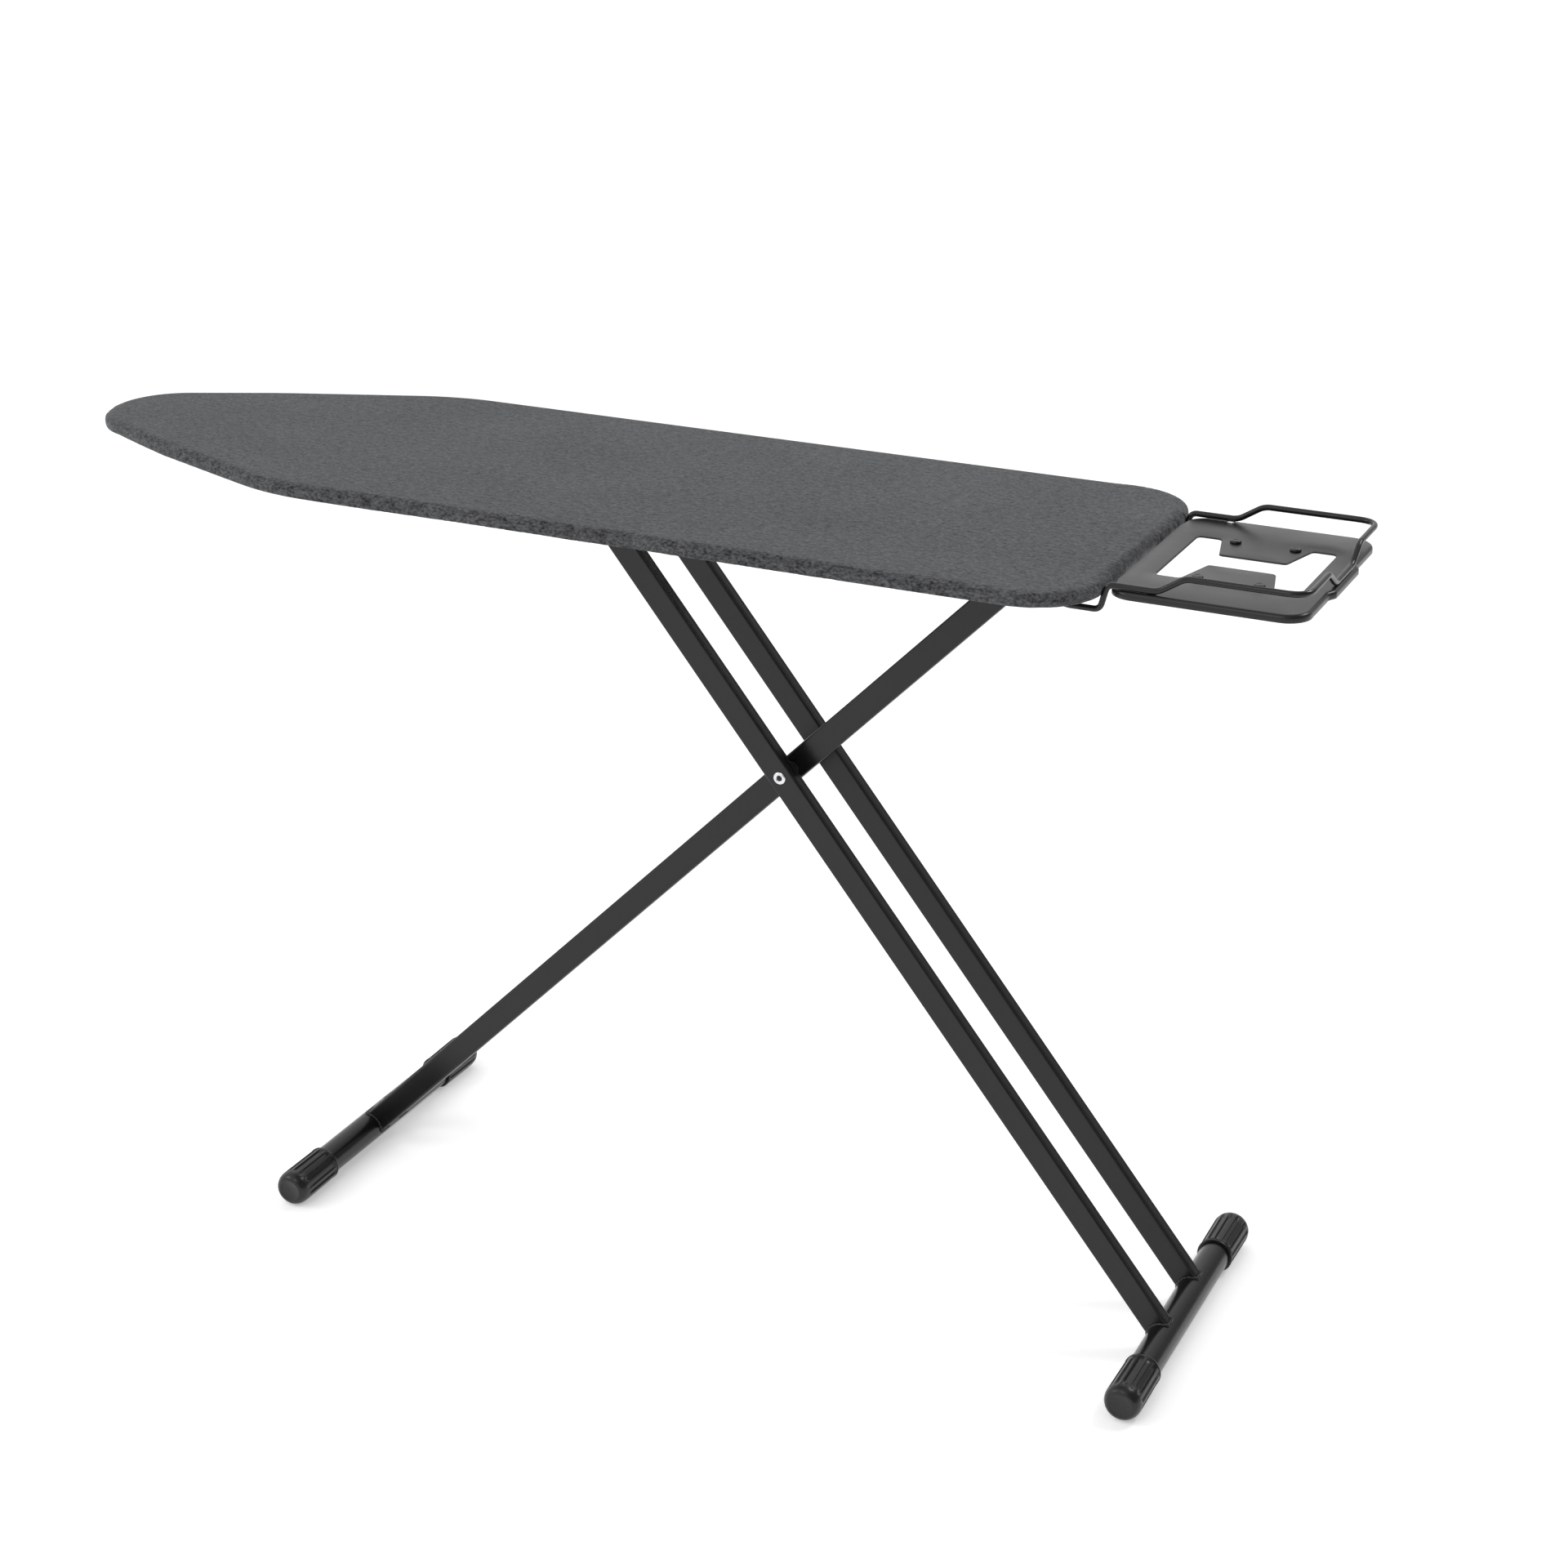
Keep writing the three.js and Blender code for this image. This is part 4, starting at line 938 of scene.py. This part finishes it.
def make_weld(leg, side):
    _, put = leg_place(*LEGS[leg])
    y0 = middle_of(f"{leg}_tube_{side}")[1]
    line = []
    for p in tube_section(-0.0003):
        depth = max(-TUBE_DEPTH / 2, min(TUBE_DEPTH / 2, p.y))
        place = put(math.sqrt(FOOT_RADIUS**2 - depth**2) + 0.0003, y0 + p.x, depth)
        if not line or (place - line[-1]).length > 0.0009:
            line.append(place)
    fine = []
    for a, b in zip(line, line[1:] + line[:1]):
        count = max(1, round((b - a).length / 0.0012))
        fine += [a.lerp(b, k / count) for k in range(count)]
    bm = bmesh.new()
    bar(bm, fine, lambda i: BEAD_RADIUS * (1 + 0.13 * math.sin(i * 1.7)), 10, closed=True)
    return finish(bm, f"{leg}_weld_{side}", BLACK_PAINT, leg + "_leg", angle=80)


for leg, side in LEG_SIDES:
    make_weld(leg, side)

# %% [markdown]
# ## Foot tubes and rubber feet
# A foot tube is a plain round tube. Its rubber foot is a cup pushed over the end: a domed
# front with a flat disc, sides with wide flutes that begin round behind the dome, and a lip
# at the open end. The profile is spun first, and each vertex is then pressed in by a
# formula of its angle and its place along the cup, which is simpler than cutting flutes.

# %% Foot tubes
def make_foot_tube(leg):
    (_, (x, z)) = LEGS[leg]
    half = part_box(leg + "_foot_tube")[1][1]
    bm = bmesh.new()
    turned(bm, [(0, -half), (FOOT_RADIUS, -half), (FOOT_RADIUS, half), (0, half)], x, z, 72)
    return finish(bm, leg + "_foot_tube_smooth", BLACK_PAINT, leg + "_leg", [leg + "_foot_tube"])


for leg in LEGS:
    make_foot_tube(leg)

# %% Rubber feet
FLUTES = 14
FLUTE_DEPTH = 0.0019
DOME = 0.0125
FACE_RADIUS = 0.0135


def flute(angle, place):
    """How deep the rubber is pressed in: place runs from 0 at the dome to 1 at the lip."""
    across = 0.5 + 0.5 * math.cos(FLUTES * angle)
    wide = min(1, max(0, (across - 0.22) / 0.28))
    wide = wide * wide * (3 - 2 * wide)
    begin = min(1, max(0, (place - 0.02 - 0.10 * (1 - across)) / 0.10))
    end = min(1, max(0, (1.0 - place) / 0.04))
    return FLUTE_DEPTH * wide * math.sin(begin * math.pi / 2) * end


def make_foot(leg, side):
    node = f"{leg}_foot_cap_{side}"
    low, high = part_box(node)
    radius = (high[0] - low[0]) / 2
    way = 1 if side == "far" else -1
    end, lip = (high[1], low[1]) if side == "far" else (-low[1], -high[1])
    (_, (x, z)) = LEGS[leg]
    profile = [(0, end - 0.0006), (FACE_RADIUS - 0.0012, end - 0.0006), (FACE_RADIUS - 0.0004, end)]
    for k in range(1, 9):
        angle = math.radians(90 * k / 8)
        profile.append((FACE_RADIUS + (radius - FACE_RADIUS) * math.sin(angle),
                        end - DOME * (1 - math.cos(angle))))
    start, stop = end - DOME, lip + 0.0045
    profile += [(radius - 0.0006 * k / 18, start + (stop - start) * k / 18) for k in range(1, 19)]
    profile += [(radius - 0.0012, stop - 0.0006), (radius - 0.0012, stop - 0.0014),
                (radius - 0.0003, stop - 0.0022), (radius - 0.0003, lip + 0.0008),
                (radius - 0.0010, lip), (FOOT_RADIUS + 0.0003, lip), (FOOT_RADIUS + 0.0002, lip + 0.012)]
    bm = bmesh.new()
    turned(bm, [(r, way * y) for r, y in profile], x, z, FLUTES * 12)
    for vert in bm.verts:
        out = Vector((vert.co.x - x, 0, vert.co.z - z))
        along = (start + 0.004 - way * vert.co.y) / (start + 0.004 - stop)
        if out.length > FACE_RADIUS + 0.002 and 0 < along < 1:
            deep = flute(math.atan2(out.z, out.x) + math.pi / FLUTES, along)
            vert.co -= out.normalized() * deep
    boundary = [e for e in bm.edges if e.is_boundary]
    bmesh.ops.edgeloop_fill(bm, edges=boundary)
    return finish(bm, node + "_fluted", RUBBER, leg + "_leg", [node], angle=42)


for leg, side in LEG_SIDES:
    make_foot(leg, side)

# %% [markdown]
# ## Pivot, slider bar and rollers
# The legs cross on one hollow rivet through all four tubes, with a nylon spacer between each
# pair. Its rolled heads are bright rings round a dark hole. The outer leg ends in a steel
# bar whose nylon rollers run in the height rack. All of these are turned, so each is one
# profile spun round its axis, with the corners of the profile already rounded.

# %% Pivot rivet and spacers
NYLON_BORE = 0.0053
SPACER_RADIUS, ROLLER_RADIUS = 0.0085, 0.0075


def make_rivet():
    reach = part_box("pivot_rivet")[1][1]
    head, bore, flange = 0.0070, 0.0030, 0.0016
    shank = 0.0049
    half = [(bore, reach - 0.0014), (bore + 0.0003, reach - 0.0006), (bore + 0.0010, reach - 0.0001),
            (bore + 0.0018, reach), (head - 0.0012, reach - 0.0003), (head - 0.0004, reach - 0.0007),
            (head, reach - 0.0012), (head - 0.0001, reach - flange), (shank, reach - flange)]
    mirrored = [(r, -y) for r, y in reversed(half)]
    bm = bmesh.new()
    turned(bm, [(shank, 0)] + mirrored + [(bore, 0)] + half + [(shank, 0)], PIVOT_X, PIVOT_Z, 72)
    return finish(bm, "hollow_rivet", ZINC_STEEL, "inner_leg", ["pivot_rivet"], angle=50)


def sleeve(name, node, body, outer, x, z, edge=0.0006):
    """A nylon ring with a plain bore and rounded outer corners."""
    low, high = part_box(node)
    y0, y1 = low[1], high[1]
    half_edge = outer - edge * 0.3
    profile = [(NYLON_BORE, y0), (outer - edge, y0), (half_edge, y0 + edge * 0.3), (outer, y0 + edge),
               (outer, y1 - edge), (half_edge, y1 - edge * 0.3), (outer - edge, y1), (NYLON_BORE, y1)]
    bm = bmesh.new()
    turned(bm, profile + [(NYLON_BORE, y0)], x, z, 48)
    return finish(bm, name, BLACK_PLASTIC, body, [node], angle=50)


make_rivet()
for place in ("near", "middle", "far"):
    node = "pivot_spacer_" + place
    sleeve("nylon_spacer_" + place, node, "inner_leg", SPACER_RADIUS, PIVOT_X, PIVOT_Z)

# %% Slider bar and rollers
def pin(name, node, body, x, z, edge=0.0007):
    low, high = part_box(node)
    radius, y0, y1 = (high[2] - low[2]) / 2, low[1], high[1]
    bm = bmesh.new()
    turned(bm, [(0, y0), (radius - edge, y0), (radius, y0 + edge), (radius, y1 - edge), (radius - edge, y1),
                (0, y1)], x, z, 48)
    return finish(bm, name, ZINC_STEEL, body, [node], angle=50)


pin("slider_pin", "slider_bar", "outer_leg", BAR_X, BAR_Z)
for side in ("near", "far"):
    sleeve("nylon_roller_" + side, "roller_" + side, f"roller_{side}_wheel", ROLLER_RADIUS, BAR_X, BAR_Z,
           0.0012)

# %% [markdown]
# ## Release lever
# A rod crosses under the board, turns down beside it and ends in a moulded paddle. Pulling
# the paddle lifts two fingers off the slider bar. A small spring coiled round the rod pulls
# it back. Both are bars carried along a path: one with two bends, the other a helix.

# %% Lever rod, handle and spring
LEVER_LOW, LEVER_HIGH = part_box("lever_rod")
HANDLE_LOW, HANDLE_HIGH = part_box("lever_handle")
SHAFT_RADIUS = 0.0025
SHAFT_X, SHAFT_Z = LEVER_LOW[0] + SHAFT_RADIUS, LEVER_HIGH[2] - SHAFT_RADIUS
HANDLE_Y, HANDLE_Z = (HANDLE_LOW[1] + HANDLE_HIGH[1]) / 2, (HANDLE_LOW[2] + HANDLE_HIGH[2]) / 2


def make_lever_rod():
    route = [(SHAFT_X, LEVER_HIGH[1], SHAFT_Z), (SHAFT_X, HANDLE_Y, SHAFT_Z),
             (SHAFT_X + 0.016, HANDLE_Y, HANDLE_Z), (LEVER_HIGH[0], HANDLE_Y, HANDLE_Z)]
    bm = bmesh.new()
    bar(bm, eased(route, [0.008] * 4), SHAFT_RADIUS, 20)
    return finish(bm, "bent_lever_rod", ZINC_STEEL, "release_lever", ["lever_rod"])


def make_handle():
    (x0, y0, z0), (x1, y1, z1) = HANDLE_LOW, HANDLE_HIGH
    corners = [(x, y, 0.008) for x, y in ((x0, y0), (x1, y0), (x1, y1), (x0, y1))]
    steps = [(0.0030, 0), (0.0012, 0.05), (0.0003, 0.18), (0, 0.38), (0, 0.62), (0.0003, 0.82),
             (0.0012, 0.95), (0.0030, 1)]
    bm = bmesh.new()
    loft(bm, [[Vector((p.x, p.y, z0 + (z1 - z0) * share)) for p in rounded(corners, inset, 0.0012)]
              for inset, share in steps])
    return finish(bm, "lever_paddle", BLACK_PLASTIC, "release_lever", ["lever_handle"], angle=50)


def make_spring():
    low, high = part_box("lever_spring")
    wire = 0.0006
    coil = SHAFT_RADIUS + 0.0003 + wire
    turns, steps = 6, 22
    path = []
    for k in range(turns * steps + 1):
        angle = 2 * math.pi * k / steps
        y = high[1] - wire + (low[1] - high[1] + 2 * wire) * k / (turns * steps)
        path.append(Vector((SHAFT_X + coil * math.cos(angle), y, SHAFT_Z + coil * math.sin(angle))))
    bm = bmesh.new()
    bar(bm, path, wire, 10)
    return finish(bm, "return_spring", ZINC_STEEL, "board", ["lever_spring"])


make_lever_rod()
make_handle()
make_spring()

# %% [markdown]
# ## Iron rest
# The rest for the iron is one pressed plate: a flat face, a rim rolled down all round, and a
# window with a tab reaching in from each long side. It is lofted from the rim's lower edge
# over the roll to the flat face. The roll is tighter on the side next to the board. The face
# between the outline and the window is then filled, and the sheet gets its thickness with
# Solidify.

# %% Plate
PLATE_LOW, PLATE_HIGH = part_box("rest_plate")
PLATE_SHEET = 0.0015
PLATE_ROLL = 0.0042
BOARD_SIDE_CRISP = 0.7
BULGE = 0.005
BULGE_BASE, BULGE_TIP, BULGE_CORNER = 0.053, 0.043, 0.008
EDGE_TURN = 0.0016
PLATE_START, PLATE_END = PLATE_LOW[0], PLATE_HIGH[0] - BULGE
PLATE_HALF, PLATE_CORNER = PLATE_HIGH[1], 0.026
PLATE_CORNERS = (
    (PLATE_START, -PLATE_HALF, PLATE_CORNER), (PLATE_END, -PLATE_HALF, PLATE_CORNER),
    (PLATE_END, -BULGE_BASE, BULGE_CORNER), (PLATE_END + BULGE, -BULGE_TIP, BULGE_CORNER),
    (PLATE_END + BULGE, BULGE_TIP, BULGE_CORNER), (PLATE_END, BULGE_BASE, BULGE_CORNER),
    (PLATE_END, PLATE_HALF, PLATE_CORNER), (PLATE_START, PLATE_HALF, PLATE_CORNER),
)
BUTTON_XS = [middle_of(f"rest_button_{end}_near")[0] for end in ("rear", "end")]
WINDOW_X = sum(BUTTON_XS) / 2
WINDOW_HALF_X, WINDOW_HALF_Y = 0.073, 0.071
TAB_TIP, TAB_BASE, TAB_REACH, WINDOW_CORNER = 0.035, 0.048, 0.018, 0.005


def window_corners():
    near = [(-WINDOW_HALF_X, -WINDOW_HALF_Y), (-TAB_BASE, -WINDOW_HALF_Y), (-TAB_TIP, -TAB_REACH),
            (TAB_TIP, -TAB_REACH), (TAB_BASE, -WINDOW_HALF_Y), (WINDOW_HALF_X, -WINDOW_HALF_Y)]
    round_trip = near + [(-x, -y) for x, y in near]
    return [(WINDOW_X + x, y, WINDOW_CORNER) for x, y in round_trip]


def plate_ring(corners, inset, z, spacing=0.003):
    return [Vector((p.x, p.y, z)) for p in rounded(corners, inset, spacing)]


def quarter_roll(radius, steps):
    """(inset, z) over a rolled edge, from upright to level with the plate's face."""
    turns = [math.radians(90 * k / steps) for k in range(steps + 1)]
    return [(radius * (1 - math.cos(a)), top - radius * (1 - math.sin(a))) for a in turns]


bm = bmesh.new()
top = PLATE_HIGH[2]
rim = [(0, PLATE_LOW[2]), (0, PLATE_LOW[2] + 0.002)] + quarter_roll(PLATE_ROLL, 6)
outer = loft(bm, [plate_ring(PLATE_CORNERS, inset, z) for inset, z in rim], False, False)
lip = [(-inset, z) for inset, z in quarter_roll(EDGE_TURN, 4)]
inner = loft(bm, [plate_ring(window_corners(), inset, z, 0.0025) for inset, z in lip], False, False)
for vert in bm.verts:
    into = vert.co.x - PLATE_START
    if into < PLATE_ROLL + 0.0001:
        straight = min(1, max(0, (PLATE_HALF - PLATE_CORNER - abs(vert.co.y)) / 0.014))
        vert.co.x = PLATE_START + into * (1 - BOARD_SIDE_CRISP * straight)
rim_edges = loop_edges(bm, outer) + loop_edges(bm, inner)
bmesh.ops.triangle_fill(bm, use_beauty=True, edges=rim_edges, normal=(0, 0, 1))
flat_face = {f for f in bm.faces if abs(f.calc_center_median().z - top) < 1e-6 and len(f.verts) == 3}
inside = [e for e in bm.edges if len(e.link_faces) and flat_face.issuperset(e.link_faces)]
bmesh.ops.subdivide_edges(bm, edges=inside, cuts=1, use_grid_fill=True)
plate = finish(bm, "pressed_rest_plate", GREY_PAINT, "board", ["rest_plate"], angle=40)
sheet_wall = plate.modifiers.new("sheet", "SOLIDIFY")
sheet_wall.thickness = PLATE_SHEET
sheet_wall.offset = -1

# %% [markdown]
# ## Rest wire and its welds
# One round wire runs from under the board along both sides of the plate, steps up into a
# rail that stops the iron, and steps down again in the middle of the rear end, where it is
# welded to the rim. It is a bar carried along a path of eased corners. The welds are small
# lumps: a flattened ball whose vertices are pushed in and out by noise.

# %% Rest wire
WIRE_LOW_BOX, WIRE_HIGH_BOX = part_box("rest_wire")
WIRE_RADIUS = 0.0032
WIRE_Y = WIRE_HIGH_BOX[1] - WIRE_RADIUS
WIRE_END_X = WIRE_HIGH_BOX[0] - WIRE_RADIUS
WIRE_TOP_Z = WIRE_HIGH_BOX[2] - WIRE_RADIUS
WIRE_FACE_Z = PLATE_HIGH[2] + 0.0003 + WIRE_RADIUS
WIRE_UNDER_Z = WIRE_LOW_BOX[2] + WIRE_RADIUS
WIRE_TAIL_Z = HEM_Z - 0.0007
WIRE_BEND, WIRE_CORNER_BEND = 0.007, 0.022
WIRE_LOW_END = PLATE_START + 0.052
WIRE_STEP = 0.027
WIRE_DIP_TOP, WIRE_DIP_FOOT = 0.058, 0.031


def make_wire():
    half = [(WIRE_LOW_BOX[0], WIRE_Y, WIRE_TAIL_Z), (REAR_X - 0.062, WIRE_Y, WIRE_TAIL_Z),
            (REAR_X - 0.036, WIRE_Y, WIRE_UNDER_Z), (REAR_X + 0.0005, WIRE_Y, WIRE_UNDER_Z),
            (REAR_X + 0.007, WIRE_Y, WIRE_FACE_Z), (WIRE_LOW_END, WIRE_Y, WIRE_FACE_Z),
            (WIRE_LOW_END + WIRE_STEP, WIRE_Y, WIRE_TOP_Z), (WIRE_END_X, WIRE_Y, WIRE_TOP_Z),
            (WIRE_END_X, WIRE_DIP_TOP, WIRE_TOP_Z), (WIRE_END_X, WIRE_DIP_FOOT, WIRE_FACE_Z)]
    route = [(x, -y, z) for x, y, z in half] + list(reversed(half))
    bends = [WIRE_CORNER_BEND if x == WIRE_END_X and abs(y) == WIRE_Y else WIRE_BEND for x, y, z in route]
    bm = bmesh.new()
    bar(bm, eased(route, bends, 10), WIRE_RADIUS, 24)
    return finish(bm, "bent_rest_wire", BLACK_PAINT, "board", ["rest_wire"])


def make_tack(name, material, centre, size):
    """A weld's lump, longer along the wire than across it."""
    bm = bmesh.new()
    bmesh.ops.create_icosphere(bm, subdivisions=3, radius=1)
    for vert in bm.verts:
        push = 1 + 0.22 * noise(vert.co * 1.7 + Vector(centre) * 31)
        vert.co = Vector(centre) + Vector([a * b * push for a, b in zip(vert.co, size)])
    return finish(bm, name, material, "board", angle=80)


make_wire()
TACK_Z = PLATE_HIGH[2] + 0.0004
for side, sign in (("near", -1), ("far", 1)):
    make_tack(f"wire_weld_{side}", ZINC_STEEL, (WIRE_LOW_END - 0.006, sign * (WIRE_Y - 0.0034), TACK_Z),
              (0.0052, 0.0030, 0.0012))
make_tack("wire_weld_end", BLACK_PAINT, (WIRE_END_X - 0.0034, 0, TACK_Z), (0.0030, 0.0060, 0.0013))

# %% [markdown]
# ## Rubber buttons
# Four low buttons keep the hot sole of the iron off the paint. Each is one turned profile,
# spun about an upright axis this time.

# %% Buttons
def make_button(node):
    (x0, y0, z0), (x1, y1, z1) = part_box(node)
    x, y, radius = (x0 + x1) / 2, (y0 + y1) / 2, (x1 - x0) / 2
    face = PLATE_HIGH[2]
    profile = [(0, z0), (0.0045, z0), (0.0045, z0 + 0.0019), (0.0030, z0 + 0.0020), (0.0030, face),
               (radius - 0.0003, face), (radius, face + 0.0005), (radius - 0.0001, z1 - 0.0014),
               (radius - 0.0005, z1 - 0.0006), (radius - 0.0013, z1 - 0.0001), (radius - 0.0022, z1),
               (radius - 0.0030, z1 - 0.0003), (0, z1 - 0.0004)]
    bm = bmesh.new()
    verts = [bm.verts.new((x + r, y, z)) for r, z in profile]
    edges = [bm.edges.new(pair) for pair in zip(verts, verts[1:])]
    bmesh.ops.spin(bm, geom=verts + edges, cent=(x, y, 0), axis=(0, 0, 1), angle=2 * math.pi, steps=48,
                   use_merge=True)
    return finish(bm, node.replace("rest", "rubber"), RUBBER, "board", [node], angle=50)


for end in ("rear", "end"):
    for side in ("near", "far"):
        make_button(f"rest_button_{end}_{side}")

# %% [markdown]
# ## Hinge axle
# The inner leg hangs on a headed axle between two brackets. It is the last turned piece.

# %% Hinge axle
axle_low, axle_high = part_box("hinge_axle")
AXLE_HEAD, AXLE_SHANK, AXLE_FLANGE = (axle_high[2] - axle_low[2]) / 2, 0.0050, 0.0020
half = axle_high[1]
profile = [(0, half), (AXLE_HEAD - 0.0012, half), (AXLE_HEAD - 0.0003, half - 0.0005),
           (AXLE_HEAD, half - 0.0012), (AXLE_HEAD, half - AXLE_FLANGE), (AXLE_SHANK, half - AXLE_FLANGE)]
bm = bmesh.new()
turned(bm, profile + [(r, -y) for r, y in reversed(profile)], AXLE_X, AXLE_Z, 56)
finish(bm, "headed_axle", ZINC_STEEL, "board", ["hinge_axle"], angle=50)
print("axle", round(half * 2 / MM, 1), "mm long, head", round(AXLE_HEAD / MM, 1), "mm")

# %% Sizes and finish
def plain(box):
    return [[float(value) for value in corner] for corner in box]


sizes = {"cad": plain(cad_box), "visual": plain(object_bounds())}
print("grown by", [round((b - a) / MM, 2) for low_high in zip(sizes["cad"], sizes["visual"])
                   for a, b in zip(*low_high)], "mm")
